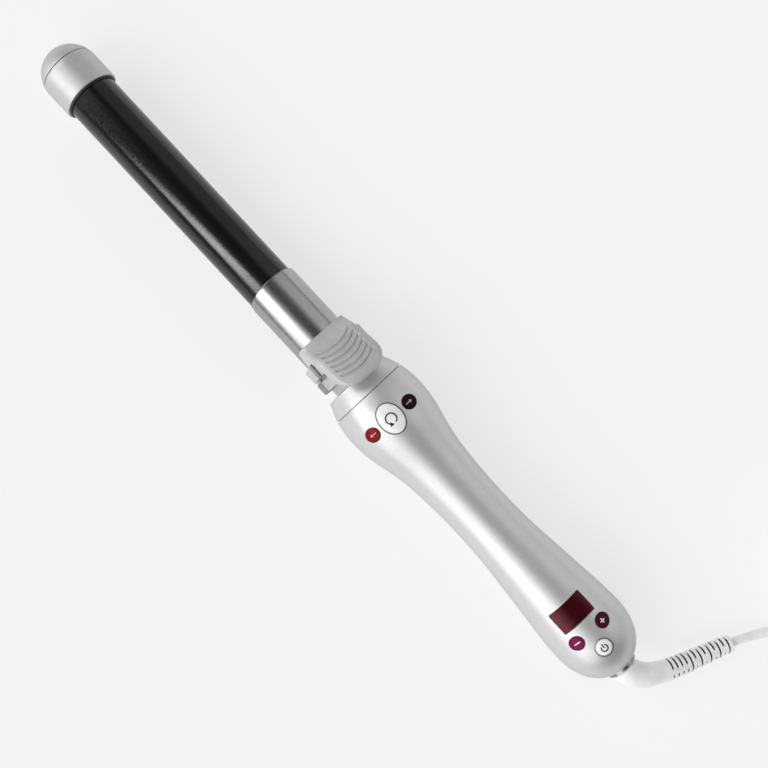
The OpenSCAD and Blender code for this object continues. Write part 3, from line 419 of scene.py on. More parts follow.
# Camera: straight above the iron, as in the photograph
ALONG = Vector((-0.6812, -0.7321, 0))
UP = Vector((0.7321, -0.6812, 0))
CAMERA_AT = (-0.02375, -0.0084, 0.4986)
PHOTO_PIXELS = 768
FOCAL_PIXELS = 1000
SENSOR = 36
camera_data = bpy.data.cameras.new("camera")
camera_data.sensor_width = SENSOR
camera_data.lens = FOCAL_PIXELS / PHOTO_PIXELS * SENSOR
camera_data.clip_start = 0.01
camera_data.clip_end = 20
camera = put("camera", camera_data)
turn = Matrix((ALONG, UP, Vector((0, 0, 1)))).transposed()
camera.matrix_world = Matrix.Translation(CAMERA_AT) @ turn.to_4x4()
bpy.context.scene.camera = camera


# Lead: one curve through the boot, across the floor, round the coil and out to the plug
BOOT_START = Vector((-200.25, 0, 19.6))
BOOT_END = Vector((-233, -46, 6.5))
BOOT_OUT = Vector((-15, 0, 0))
BOOT_IN = Vector((11.8, 24.4, 5.6))
LEAD = [(-235.1, -50.4, 5.5), (-238.2, -56, 4.3), (-241.8, -62, 3.4), (-246.1, -67.6, 3.1),
        (-251.8, -73.2, 3), (-258.1, -78.6, 3.1)]
TAIL = [(-244.4, -77.9, 18.25), (-250.4, -76.9, 18.5), (-256.5, -76.8, 19.2), (-262.3, -78.1, 20.3),
        (-267.5, -80.8, 21.6), (-271.7, -85, 23.1), (-274.3, -90.2, 24.6), (-275.1, -96, 25.9),
        (-274.2, -102, 26.7), (-271.6, -107.4, 27.1), (-269.9, -109.9, 27.1)]
COIL_MID = (-246, -112.6)
COIL_Z = 3.25
COIL_PITCH = 5.0
COIL_LAYERS = 4
COIL_A0 = 130
COIL_A1 = 75
COIL_TURNS = 14 + (COIL_A1 - COIL_A0) / 360
LAYER_TURNS = COIL_TURNS / COIL_LAYERS
COIL_OUTER = 33.9
STEPS_A_TURN = 48


def boot_at(t):
    return ((1 - t) ** 3 * BOOT_START + 3 * (1 - t) ** 2 * t * (BOOT_START + BOOT_OUT)
            + 3 * (1 - t) * t * t * (BOOT_END + BOOT_IN) + t ** 3 * BOOT_END)


def coil_at(t):
    """The coil after t turns, winding inwards and outwards by turns, a layer at a time."""
    layer = int(min(t, COIL_TURNS - 0.001) / LAYER_TURNS)
    part = t - layer * LAYER_TURNS
    r = COIL_OUTER - COIL_PITCH * (part if layer % 2 == 0 else LAYER_TURNS - part)
    rise = sum(min(1, max(0, (t - LAYER_TURNS * i + 0.25) / 0.5)) for i in range(1, COIL_LAYERS))
    a = radians(COIL_A0 + 360 * t)
    return Vector((COIL_MID[0] + r * cos(a), COIL_MID[1] + r * sin(a), COIL_Z + COIL_PITCH * rise))


def rounded_path(points, steps):
    """Points on a smooth curve through the given ones."""
    out = []
    for i in range(len(points) - 1):
        p0 = points[max(i - 1, 0)]
        p1 = points[i]
        p2 = points[i + 1]
        p3 = points[min(i + 2, len(points) - 1)]
        for k in range(steps):
            t = k / steps
            out.append(0.5 * (2 * p1 + (p2 - p0) * t + (2 * p0 - 5 * p1 + 4 * p2 - p3) * t * t
                              + (3 * p1 - p0 - 3 * p2 + p3) * t ** 3))
    out.append(points[-1])
    return out


coil_steps = round(COIL_TURNS * STEPS_A_TURN)
coil_line = [coil_at(COIL_TURNS * i / coil_steps) for i in range(coil_steps + 1)]
coil_in = (coil_line[1] - coil_line[0]).normalized()
coil_out = (coil_line[-1] - coil_line[-2]).normalized()
boot_line = [boot_at(i / 24) for i in range(25)]
lead_line = rounded_path([boot_line[-1]] + [Vector(p) for p in LEAD] + [coil_line[0] - CORD_D * coil_in], 4)
tail_line = rounded_path([coil_line[-1] + CORD_D * coil_out] + [Vector(p) for p in TAIL], 4)
cord_points = boot_line[:-1] + lead_line + coil_line + tail_line
cord_length = sum((b - a).length for a, b in zip(cord_points, cord_points[1:])) / 1000

curve = bpy.data.curves.new("mains_lead", "CURVE")
curve.dimensions = "3D"
spline = curve.splines.new("POLY")
spline.points.add(len(cord_points) - 1)
for point, place in zip(spline.points, cord_points):
    point.co = (*(place / 1000), 1)
curve.bevel_depth = CORD_D / 2000
curve.bevel_resolution = 5
curve.use_fill_caps = True
spline.use_smooth = True
cord = put("mains_lead", curve)
keep(cord, "lead", "white_vinyl", vinyl, "cord_lead", "cord_coil", "cord_tail")

# Boot: smooth tapered sleeve with slots cut part way round
BOOT_R = (6.9, 5.3, 4.3)
SLOTS = 13
SLOT_PITCH = 2.7
SLOT_SECTION = [(-0.95, 0), (-0.6, 0), (-0.52, 0.06), (-0.46, 0.2), (-0.44, 1), (0, 1),
                (0.44, 1), (0.46, 0.2), (0.52, 0.06), (0.6, 0), (0.95, 0)]
FIRST_PLAIN = 4
SEAT_LONG = 0.45
BOOT_STEPS = 240
BOOT_SIDES = 72

boot_fine = [boot_at(i / BOOT_STEPS) for i in range(BOOT_STEPS + 1)]
boot_run = [0.0]
for a, b in zip(boot_fine, boot_fine[1:]):
    boot_run.append(boot_run[-1] + (b - a).length)
boot_length = boot_run[-1]
slot_from = boot_length - SLOTS * SLOT_PITCH - 1.2


def boot_place(s):
    """The point at a length along the boot."""
    s = max(0, min(boot_length, s))
    for i, (start, end) in enumerate(zip(boot_run, boot_run[1:])):
        if end >= s:
            return boot_fine[i].lerp(boot_fine[i + 1], (s - start) / (end - start))
    return boot_fine[-1]


def boot_radius(s):
    if s < SEAT_LONG:
        return 5.9
    if s < slot_from:
        body = BOOT_R[0] + (BOOT_R[1] - BOOT_R[0]) * (1 - cos(pi * s / slot_from)) / 2
        return body - 0.5 * (1 - smooth_step(SEAT_LONG, 1.2, s))
    return BOOT_R[1] + (BOOT_R[2] - BOOT_R[1]) * (s - slot_from) / (boot_length - slot_from)


def slot_depth(i, angle):
    """How deep slot i is at an angle round the boot: open on two sides, closed at two spines."""
    if i < FIRST_PLAIN:
        spine, half = 98, 76
    elif i % 2 == 1:
        spine, half = 98, 64
    else:
        spine, half = 178, 72
    off = abs(((angle - spine + 720) % 180) - 90)
    return 2.3 * (1 - smooth_step(half - 5, half, off))


def make_boot():
    """Rings of (length, slot or -1, share of the slot's depth, inset)."""
    rings = [(s, -1, 0, 0) for s in (0, 0.44, 0.45, 0.55, 0.7, 0.95, 1.3)]
    rings += [(slot_from * i / 24, -1, 0, 0) for i in range(1, 25) if slot_from * i / 24 > 1.4]
    for i in range(SLOTS):
        mid = slot_from + SLOT_PITCH * (i + 0.5)
        rings += [(mid + d, i, part, 0) for d, part in SLOT_SECTION]
    rings += [(boot_length - d, -1, 0, inset)
              for d, inset in [(1.1, 0), (0.6, 0), (0.3, 0), (0.1, 0.15), (0, 0.5)]]
    points = []
    for s, slot, part, inset in rings:
        p = boot_place(s)
        t = (boot_place(s + 0.3) - boot_place(s - 0.3)).normalized()
        side = Vector((0, 0, 1)).cross(t).normalized()
        top = t.cross(side)
        for k in range(BOOT_SIDES):
            angle = 360 * k / BOOT_SIDES
            r = boot_radius(s) - inset
            if slot >= 0:
                r -= part * slot_depth(slot, angle)
            a = radians(angle)
            points.append(p + r * (cos(a) * side + sin(a) * top))
    obj = build("boot", points, capped_faces(len(rings), BOOT_SIDES), metres, 50)
    keep(obj, "lead", "white_vinyl", boot_vinyl, "cord_boot")
    # The deepest faces of each slot take the near-black material: painted shade inside the slots
    obj.data.materials.append(slot_painted_shade)
    for poly in obj.data.polygons:
        row, col = divmod(poly.index, BOOT_SIDES)
        if row + 1 < len(rings):
            _, slot, part, _ = rings[row]
            _, next_slot, next_part, _ = rings[row + 1]
            deep = slot >= 0 and slot == next_slot and max(part, next_part) == 1
            if deep and slot_depth(slot, 360 * (col + 0.5) / BOOT_SIDES) > 1:
                poly.material_index = 1
    return obj


boot = make_boot()

# Tie: a soft band round the coil's near side
TIE_LOW = 0.05
TIE_THICK = 0.7
TIE_HALF = 4
tie_x0 = COIL_MID[0] + COIL_OUTER - COIL_PITCH * LAYER_TURNS - CORD_D / 2 - 1
tie_x1 = COIL_MID[0] + COIL_OUTER + CORD_D / 2 + 0.6
tie_z1 = COIL_Z + COIL_PITCH * (COIL_LAYERS - 1) + CORD_D / 2 + 0.3


def circle_path(cx, cy, r, a0, a1, steps=48):
    """Points on a circle between two angles in degrees, from the first direction towards the second."""
    angles = [radians(a0 + (a1 - a0) * i / steps) for i in range(steps + 1)]
    return [(cx + r * cos(a), cy + r * sin(a)) for a in angles]


def rounded_rect(x0, x1, z0, z1, r, steps=8):
    corners = [(x1 - r, z1 - r, 0), (x0 + r, z1 - r, 90), (x0 + r, z0 + r, 180), (x1 - r, z0 + r, 270)]
    return [p for cx, cz, a0 in corners for p in circle_path(cx, cz, r, a0, a0 + 90, steps)]


def make_tie():
    outer = rounded_rect(tie_x0 - TIE_THICK, tie_x1 + TIE_THICK, TIE_LOW, tie_z1 + TIE_THICK, 2.2)
    inner = rounded_rect(tie_x0, tie_x1, TIE_LOW + TIE_THICK, tie_z1, 1.5)
    cx = (tie_x0 + tie_x1) / 2
    cz = (TIE_LOW + tie_z1) / 2
    soft_edge = TIE_HALF - 0.4
    loops = [(inner, TIE_HALF), (outer, TIE_HALF), (outer, soft_edge), (outer, -soft_edge), (outer, -TIE_HALF),
             (inner, -TIE_HALF)]
    points = []
    for outline, offset in loops:
        soft = 0.12 if abs(offset) == TIE_HALF and outline is outer else 0
        for x, z in outline:
            pull = soft / max(abs(x - cx), abs(z - cz), 1)
            points.append((x - (x - cx) * pull, COIL_MID[1] + offset, z - (z - cz) * pull))
    return build("lead_tie", points, ring_faces(len(loops), len(outer)), metres, 50)


tie = keep(make_tie(), "lead", "tie_grey", tie_grey, "coil_tie")

# Plug
PLUG_AT = Matrix.Translation((-0.2699, -0.1099, 0.0271)) @ Matrix.Rotation(radians(-55), 4, "Z")


def plug_point(x, y, z):
    return PLUG_AT @ Vector((x / 1000, y / 1000, z / 1000))


def make_plug():
    """Sections of a rounded rectangle that swell from the neck to a gripped body."""
    stations = [(0.0, 2.9, 2.9, 2.8), (0.3, 3.3, 3.3, 3.2), (2.6, 3.7, 3.7, 3.5), (2.9, 3.4, 3.4, 3.2),
                (3.3, 3.4, 3.4, 3.2), (3.6, 3.9, 3.9, 3.6), (5.4, 4.2, 4.1, 3.8), (5.7, 3.9, 3.9, 3.6),
                (6.1, 3.9, 3.9, 3.6), (6.4, 4.5, 4.4, 4), (8.2, 5.4, 4.9, 4), (10.5, 7.3, 5.6, 3.6),
                (13, 8.9, 6.2, 3.2), (15.5, 9.8, 6.45, 2.8), (18.5, 10, 6.5, 2.6), (22, 10, 6.5, 2.4),
                (25, 10, 6.5, 2.4), (25.7, 9.8, 6.3, 2.3), (26, 9.3, 5.8, 2.2)]
    steps = 7
    points = [(x, y, z) for x, half_w, half_h, r in stations
              for y, z in rounded_rect(-half_w, half_w, -half_h, half_h, r, steps)]
    return build("plug", points, capped_faces(len(stations), 4 * (steps + 1)), plug_point, 35)


# Plug blades: end, half width, distance from the middle, rounding, and the hole near the end
PRONG_TIP = 43
PRONG_HALF = 3.17
PRONG_APART = 6.35
PRONG_ROUND = 2
HOLE_X = 38.5
HOLE_R = 1.5
HOLE_SIDES = 20


def prong(side):
    """One blade of the plug: four outlines through its thickness, and a round hole."""
    middle = PRONG_TIP - PRONG_ROUND
    corner = PRONG_HALF - PRONG_ROUND
    outline = circle_path(middle, -corner, PRONG_ROUND, -90, 0, 4)
    outline += circle_path(middle, corner, PRONG_ROUND, 0, 90, 4)[1:]
    outline += [(25.5, PRONG_HALF), (25.5, -PRONG_HALF)]
    n = len(outline)
    points = []
    for shrink, depth in [(0.25, -0.75), (0, -0.55), (0, 0.55), (0.25, 0.75)]:
        for x, z in outline:
            points.append((x - (shrink if x > 30 else 0), side * PRONG_APART + depth, z * (1 - shrink / 3.2)))
    faces = [f[:1] + f[:0:-1] for f in grid_faces(4, n, wrap=True)]
    start = len(points)
    for depth in (-0.75, 0.75):
        for x, z in outline_round(HOLE_X, 0, HOLE_R, HOLE_R, HOLE_SIDES):
            points.append((x, side * PRONG_APART + depth, z))
    faces += [tuple(i + start for i in f) for f in grid_faces(2, HOLE_SIDES, wrap=True)]
    for loop, hole, flip in [(0, start, False), (3 * n, start + HOLE_SIDES, True)]:
        faces += plate_with_hole(points, loop, n, hole, HOLE_SIDES, flip)
    return points, faces


def plate_with_hole(points, loop, n, hole, m, flip):
    """Triangles between an outline and a hole in it, walked round by angle from the hole's middle."""
    cx = sum(points[hole + k][0] for k in range(m)) / m

    def angle(i):
        p = points[i]
        return atan2(p[2], p[0] - cx)

    outer = sorted(range(loop, loop + n), key=angle)
    inner = sorted(range(hole, hole + m), key=angle)
    out = []
    i = 0
    j = 0
    while i < n or j < m:
        a = outer[i % n]
        b = inner[j % m]
        next_outer = angle(outer[(i + 1) % n]) + (tau if i + 1 >= n else 0)
        next_inner = angle(inner[(j + 1) % m]) + (tau if j + 1 >= m else 0)
        if j >= m or (i < n and next_outer <= next_inner):
            i += 1
            tri = (a, b, outer[i % n])
        else:
            j += 1
            tri = (a, b, inner[j % m])
        out.append(tri if flip else tri[::-1])
    return out


def outline_round(cx, cy, rx, ry, n=64):
    return [(cx + rx * cos(tau * k / n), cy + ry * sin(tau * k / n)) for k in range(n)]


plug = keep(make_plug(), "lead", "plug_white", moulded("plug_vinyl", (0.8, 0.8, 0.8), 0.4), "plug_body")
pins = keep(build("plug_pins", *merged([prong(-1), prong(1)]), plug_point, 35), "lead", "steel",
            metal("nickel", (0.7, 0.69, 0.66), 0.18), "plug_blades")


# Handle shells: half rings with the real wall, holes cut for buttons and window

def shell_half(name, up):
    """A half of the handle, its two edges along the seam a little rounded."""
    xs = [REAR_X + (BULB_X - REAR_X) * (1 - cos(radians(i * 3.75))) for i in range(24)]
    xs += [BULB_X + (SEAM_X - 0.3 - BULB_X) * i / 140 for i in range(141)]
    xs += [SEAM_X - 0.24, SEAM_X - 0.2, SEAM_X - 0.19, SEAM_X]
    angles = [0, 0.35, 0.8, 1.6, 3] + [3 + 174 * i / 70 for i in range(1, 71)] + [178.4, 179.2, 179.65, 180]
    drops = {0: 0.22, 0.35: 0.08, 180: 0.22, 179.65: 0.08}
    points = []
    for inner in (False, True):
        for x in xs:
            for angle in angles:
                r = handle_r(x) - drops.get(angle, 0)
                for before_seam, less in [(0.25, 0.12), (0.21, 0.2), (0.195, 0.9)]:
                    if x > SEAM_X - before_seam:
                        r -= less
                if x < REAR_X + 0.1:
                    r -= 0.15
                if inner:
                    r = max(REAR_BORE, handle_r(x) - SHELL_WALL)
                a = radians(angle if up else angle + 180)
                points.append((x, r * cos(a), max(-AXIS_H, r * sin(a))))
    return build(name, points, slab_faces(len(xs), len(angles)), axis_point, 35)


def cutter(outline, z0=5, z1=30, bow=0.0):
    """A prism with the outline, standing on Z; bow bends its ends along X towards the sides."""
    return [(x + bow * y * y, y, z) for z in (z0, z1) for x, y in outline], capped_faces(2, len(outline))


def cut(obj, cutters):
    tool = build("cut_tool", *merged(cutters))
    mod = obj.modifiers.new("cut", "BOOLEAN")
    mod.operation = "DIFFERENCE"
    mod.solver = "EXACT"
    mod.object = tool
    bake_modifiers(obj)
    bpy.data.objects.remove(tool)
    shade(obj, 35)


GO = (SEAM_X - 15.3, 0)
LEFT = (GO[0], 11.3)
RIGHT = (GO[0], -11.3)
PLUS = (28.4, -7.9)
MINUS = (28.4, 7.9)
POWER = (19.0, 0)
WINDOW = (41.2, 0)
WINDOW_HALF = (5.75, 9.1)
WINDOW_BOW = -0.012
GO_HOLE = (8.0, 6.15)
SMALL_R = 3.25
SMALL_HOLE = SMALL_R + 0.18
SMALL_RIM = SMALL_R + 0.2
POWER_R = 4.0
POWER_HOLE = POWER_R + 0.66
SCREWS = [(64, 0), (92, 0), (171, 14), (171, -14)]
SCREW_HOLE = 2.3
CAP_SKIRT = 2.4
MARK_LIFT = 0.03


def window_outline(more, corner, steps):
    """The display's outline, larger by the given distance."""
    half_x, half_y = (half + more for half in WINDOW_HALF)
    outline = rounded_rect(-half_x, half_x, -half_y, half_y, corner, steps)
    return [(WINDOW[0] + x, WINDOW[1] + y) for x, y in outline]


top_shell = shell_half("handle_top", True)
cut(top_shell, [cutter(outline_round(*GO, *GO_HOLE, 96))]
    + [cutter(outline_round(*at, SMALL_HOLE, SMALL_HOLE)) for at in (LEFT, RIGHT, PLUS, MINUS)]
    + [cutter(outline_round(*POWER, POWER_HOLE, POWER_HOLE)),
       cutter(window_outline(0.12, 0.9, 6), bow=WINDOW_BOW)])
keep(top_shell, "handle", "silver_plastic", silver, "handle_shell_top")

bottom_shell = shell_half("handle_bottom", False)
cut(bottom_shell, [cutter(outline_round(*at, SCREW_HOLE, SCREW_HOLE, 40), -30, -4.8) for at in SCREWS])
keep(bottom_shell, "handle", "silver_plastic", silver, "handle_shell_bottom")


def rim_bead(name, outline, radius, sink, mat, slot, bow=0.0):
    """A thin rounded edge along an outline, following the handle's surface."""
    n = len(outline)
    sides = 10
    centres = []
    for x, y in outline:
        px = x + bow * y * y
        centres.append(Vector((px, y, handle_z(px, y) - sink)))
    points = []
    for i in range(n):
        t = (centres[(i + 1) % n] - centres[i - 1]).normalized()
        out = Vector((t.y, -t.x, 0)).normalized()
        up = out.cross(t) * -1
        for k in range(sides):
            a = tau * k / sides
            points.append(centres[i] + radius * (cos(a) * out + sin(a) * up))
    keep(build(name, points, ring_faces(n, sides), axis_point, 180), "handle", slot, mat)


# Dark beads round the button holes: painted shade in the gap between each cap and the shell; the small ones are
# shaded copies of their button's colour
rim_bead("go_rim", outline_round(*GO, *GO_HOLE, 128), 0.24, 0.12, moulded("rim_painted_shade", (0.05, 0.05, 0.052), 0.4),
         "black_plastic")
for label, at, tint in [("left", LEFT, (0.06, 0.003, 0.005)), ("right", RIGHT, (0.01, 0.001, 0.002)),
                        ("plus", PLUS, (0.02, 0.002, 0.008)), ("minus", MINUS, (0.05, 0.003, 0.022))]:
    rim_bead(label + "_rim", outline_round(*at, SMALL_RIM, SMALL_RIM, 96), 0.24, 0.1,
             moulded(label + "_rim_painted_shade", tint, 0.3), "black_plastic")
rim_bead("window_rim", window_outline(0.2, 1.0, 8), 0.14, 0.09, satin_silver("rim_silver", 0.7, 0.25),
         "silver_plastic", bow=WINDOW_BOW)


def power_ring():
    """Raised ring round the power button, with rounded edges."""
    n = 96
    loops = [(0.15, -2.2), (0.15, 0.02), (0.22, 0.12), (0.4, 0.17), (0.55, 0.1), (0.6, -0.02), (0.6, -2.2)]
    points = []
    for wider, lift in loops:
        for x, y in outline_round(*POWER, POWER_R + wider, POWER_R + wider, n):
            points.append((x, y, handle_z(x, y) + lift))
    return build("power_ring", points, ring_faces(len(loops), n))


keep(power_ring(), "handle", "ring_grey", ring_grey, "power_button_ring")

# Buttons: caps that follow the handle, a little crowned, with rounded edges

def cap_top(at, rx, ry, proud, crown, edge):
    """Gives the function for the height of an oval cap's top at x, y."""

    def height(x, y):
        q = hypot((x - at[0]) / rx, (y - at[1]) / ry)
        room = (1 - min(1, q)) * min(rx, ry)
        return handle_z(x, y) + proud + crown * (1 - q * q) - round_off(room, edge)

    return height


def make_cap(name, at, rx, ry, edge, height):
    n = 96
    rims = [1 - edge * e / min(rx, ry) for e in (0, 0.04, 0.15, 0.3, 0.5, 0.75, 1)]
    rings = [1.0] + rims + [rims[-1] * (1 - i / 14) for i in range(1, 14)]
    points = []
    for i, q in enumerate(rings):
        for x, y in outline_round(*at, q * rx, q * ry, n):
            points.append((x, y, height(x, y) if i else handle_z(x, y) - CAP_SKIRT))
    last = len(points) - n
    centre = len(points)
    points.append((*at, height(*at)))
    faces = grid_faces(len(rings), n, wrap=True)
    faces += [(last + k, last + (k + 1) % n, centre) for k in range(n)]
    faces.append(tuple(range(n - 1, -1, -1)))
    return build(name, points, faces, axis_point, 50)


# Flat marks, each laid on a surface that is given by its height at x, y

def stroke(path, width, height):
    """A line of even width along points (x, y), with round ends."""
    path = [Vector(p) for p in path]
    rows = []
    for i, p in enumerate(path):
        t = (path[min(i + 1, len(path) - 1)] - path[max(i - 1, 0)]).normalized()
        rows.append((p, t, width / 2))
    p0, t0, _ = rows[0]
    p1, t1, _ = rows[-1]
    for i in range(1, 6):
        a = radians(90 * i / 5)
        half = width / 2 * cos(a)
        rows.insert(0, (p0 - t0 * width / 2 * sin(a), t0, half))
        rows.append((p1 + t1 * width / 2 * sin(a), t1, half))
    points = []
    cols = 5
    for p, t, half in rows:
        for k in range(cols):
            q = p + Vector((-t.y, t.x)) * half * (k / (cols - 1) * 2 - 1)
            points.append((q.x, q.y, height(q.x, q.y) + MARK_LIFT))
    return points, [f[::-1] for f in grid_faces(len(rows), cols)]


def arrow_head(tip, direction, size, height):
    d = Vector(direction).normalized()
    side = Vector((-d.y, d.x)) * size * 0.62
    tip = Vector(tip)
    edge_a = -d * size + side
    edge_b = -d * size - side
    steps = 5
    index = {}
    points = []
    for i in range(steps + 1):
        for j in range(steps + 1 - i):
            q = tip + edge_a * i / steps + edge_b * j / steps
            index[i, j] = len(points)
            points.append((q.x, q.y, height(q.x, q.y) + MARK_LIFT + 0.002))
    faces = []
    for i in range(steps):
        for j in range(steps - i):
            faces.append((index[i, j], index[i + 1, j], index[i, j + 1]))
            if j < steps - i - 1:
                faces.append((index[i + 1, j], index[i + 1, j + 1], index[i, j + 1]))
    return points, faces


def line_path(a, b, n=12):
    return [(a[0] + (b[0] - a[0]) * i / n, a[1] + (b[1] - a[1]) * i / n) for i in range(n + 1)]


def mark(name, mat, body, slot, blocks):
    obj = build(name, *merged(blocks), axis_point, 180)
    solid = obj.modifiers.new("thick", "SOLIDIFY")
    solid.thickness = 0.00006
    solid.offset = 1
    bake_modifiers(obj)
    keep(obj, body, slot, mat)


SMALL_CAP = (SMALL_R, SMALL_R, 0.1, 0.3, 0.4)
tops = {}
for label, at, (rx, ry, proud, crown, edge), slot, tint in [
        ("go", GO, (7.75, 5.9, 0.16, 0.35, 0.45), "button_white", None),
        ("left", LEFT, SMALL_CAP, "button_red", (0.26, 0.005, 0.01)),
        ("right", RIGHT, SMALL_CAP, "button_maroon", (0.012, 0.001, 0.003)),
        ("plus", PLUS, SMALL_CAP, "button_purple", (0.07, 0.003, 0.025)),
        ("minus", MINUS, SMALL_CAP, "button_magenta", (0.2, 0.005, 0.085)),
        ("power", POWER, (POWER_R, POWER_R, 0.12, 0.3, 0.4), "button_white", None)]:
    mat = button_plastic(slot, tint) if tint else button_white
    tops[label] = cap_top(at, rx, ry, proud, crown, edge)
    cap = make_cap(label + "_cap", at, rx, ry, edge, tops[label])
    keep(cap, label + "_key", slot, mat, label + "_button")

mark("go_mark", mark_dark, "go_key", "button_white",
     [stroke(circle_path(*GO, 2.6, 128, -160), 0.62, tops["go"]),
      arrow_head((GO[0] - 2.85, 0.45), (-0.5, -0.866), 1.9, tops["go"])])
for label, (x, y), sign, slot in [("left", LEFT, 1, "button_red"), ("right", RIGHT, -1, "button_maroon")]:
    mark(label + "_mark", mark_pale, label + "_key", slot,
         [stroke(line_path((x, y - sign * 1.6), (x, y + sign * 0.5)), 0.45, tops[label]),
          arrow_head((x, y + sign * 1.75), (0, sign), 1.4, tops[label])])
x, y = PLUS
mark("plus_mark", mark_white, "plus_key", "button_purple",
     [stroke(line_path((x - 1.05, y), (x + 1.05, y)), 0.55, tops["plus"]),
      stroke(line_path((x, y - 1.05), (x, y + 1.05)), 0.55, tops["plus"])])
x, y = MINUS
mark("minus_mark", mark_white, "minus_key", "button_magenta",
     [stroke(line_path((x, y - 1.25), (x, y + 1.25)), 0.6, tops["minus"])])
x, y = POWER
mark("power_mark", mark_dark, "power_key", "button_white",
     [stroke(circle_path(x - 0.2, y, 1.6, 42, 318), 0.58, tops["power"]),
      stroke(line_path((x + 0.1, y), (x + 1.95, y)), 0.58, tops["power"])])

# Display: tinted lens over a black panel with unlit digits, set in a red frame

def sheet_on_handle(name, half_x, half_y, drop, radius, slot, mat, thick, centre=WINDOW, flatten=0.0):
    """A curved plate under the handle's surface, by a grid over a rounded rectangle."""
    nx = 30
    ny = 40
    points = []
    for layer in (0, thick):
        for i in range(nx + 1):
            for k in range(ny + 1):
                y = half_y * (2 * k / ny - 1)
                x = half_x * (2 * i / nx - 1)
                over_x = abs(x) - (half_x - radius)
                over_y = abs(y) - (half_y - radius)
                length = hypot(over_x, over_y)
                if over_x > 0 and over_y > 0 and length > radius:
                    x = copysign(half_x - radius + over_x * radius / length, x)
                    y = copysign(half_y - radius + over_y * radius / length, y)
                px = centre[0] + x + WINDOW_BOW * (centre[1] + y) ** 2
                py = centre[1] + y
                sunk = drop + flatten * (WINDOW_HALF[1] ** 2 - py * py) + layer
                points.append((px, py, handle_z(px, py) - sunk))
    return keep(build(name, points, slab_faces(nx + 1, ny + 1)), "handle", slot, mat)


PANEL_DROP = 1.7
lens = sheet_on_handle("window_lens", *WINDOW_HALF, 0.12, 0.8, "window_red", lens_red, 0.7, flatten=0.0095)
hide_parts("display_window")
sheet_on_handle("window_frame", WINDOW_HALF[0] - 0.05, WINDOW_HALF[1] - 0.05, 1.9, 0.7, "window_red",
                panel_red, 0.2)
sheet_on_handle("window_panel", 4.6, 7.9, PANEL_DROP, 0.3, "black_plastic", panel_black, 0.15,
                centre=(WINDOW[0] + 0.5, -0.3))


def panel_z(x, y):
    """Height of the display's panel, where its digits lie."""
    return handle_z(x, y) - PANEL_DROP + 0.01


def digit(cx, cy):
    """All seven bars of one unlit digit, upright when the tip is up."""
    top = 2.3
    left = 1.25
    gap = 0.15
    bars = [(top, -left, top, left), (0, -left, 0, left), (-top, -left, -top, left)]
    for side in (left, -left):
        bars += [(gap, side, top - gap, side), (-top + gap, side, -gap, side)]
    out = []
    for ax, ay, bx, by in bars:
        a = (cx + ax * 0.9, cy + ay * 0.82)
        b = (cx + bx * 0.9, cy + by * 0.82)
        out.append(stroke(line_path(a, b, 4), 0.34, panel_z))
    return out


mark("digits", segment_dim, "handle", "window_red", digit(41.7, 3.8) + digit(41.7, 0) + digit(41.7, -3.8))

# Rings at the ends of the handle
nose_profile = [(NOSE_X - 2.8, NECK_R + 0.35), (NOSE_X, NECK_R + 0.35), (NOSE_X, NOSE_R - 0.25),
                (NOSE_X - 0.06, NOSE_R - 0.08)]
nose_profile += [(NOSE_X - 1 + sin(radians(a)), NOSE_R + 0.9 - 0.9 * (1 - cos(radians(a))))
                 for a in (72, 60, 48, 36, 24, 12)]
nose_profile += [(SEAM_X + 8 * i / 24, bend((SEAM_X, SEAM_R, -0.3), (NOSE_X - 1, NOSE_R + 0.9, -0.46),
                                            SEAM_X + 8 * i / 24)) for i in range(24, 1, -1)]
nose_profile += [(SEAM_X + 0.32, SEAM_R - 0.12), (SEAM_X + 0.22, SEAM_R - 0.3), (SEAM_X + 0.2, SEAM_R - 1.2),
                 (SEAM_X, SEAM_R - 1.25), (SEAM_X, SEAM_R - 2.4),
                 (SEAM_X - 3, SEAM_R - 2.4), (SEAM_X - 3, NECK_R + 2.2), (NOSE_X - 2.8, NECK_R + 2.2)]
nose = ring_lathe("nose", nose_profile)
for vertex in nose.data.vertices:
    vertex.co.z = max(vertex.co.z, 0.0)
keep(nose, "handle", "silver_plastic", silver, "nose_ring")

collar_profile = [(0, 6.05), (0, END_R - 0.35), (0.05, END_R - 0.15), (0.2, END_R), (0.75, END_R),
                  (0.85, END_R - 0.3), (1.1, END_R - 0.3), (1.2, END_R), (1.65, END_R), (1.8, END_R - 0.15),
                  (1.8, 7.5), (3, 7.5), (3, 6.05)]
keep(ring_lathe("end_collar", collar_profile[::-1]), "handle", "trim_silver", trim, "base_collar")

# Barrel, tip and its rings
BARREL_SIDES = 192
tube_profile = [(194, BARREL_R - 0.8), (RIM_X + 11, BARREL_R - 0.8), (RIM_X + 11, BARREL_R)]
tube_profile += [(RIM_X + 11 - (RIM_X - 183) * i / 60, BARREL_R) for i in range(1, 61)]
barrel_skin = ring_lathe("barrel_skin", tube_profile, barrel_point, BARREL_SIDES)
keep(barrel_skin, "barrel", "barrel_black", coating, "barrel_tube")

ring_profile = [(RIM_X - 0.8, BARREL_R), (RIM_X, BARREL_R), (RIM_X, BARREL_R + 0.95),
                (RIM_X - 0.2, BARREL_R + 1), (RIM_X - 0.6, BARREL_R + 0.95), (RIM_X - 0.8, BARREL_R + 0.75)]
keep(ring_lathe("tip_seal", ring_profile, barrel_point), "barrel", "black_plastic", black_plastic, "tip_ring")

DOME_A = 14.0


def tip_at(x):
    """Radius of the cool tip at a station."""
    return TIP_R * sqrt(max(0, 1 - (max(0, x - TOTAL + DOME_A) / DOME_A) ** 2))


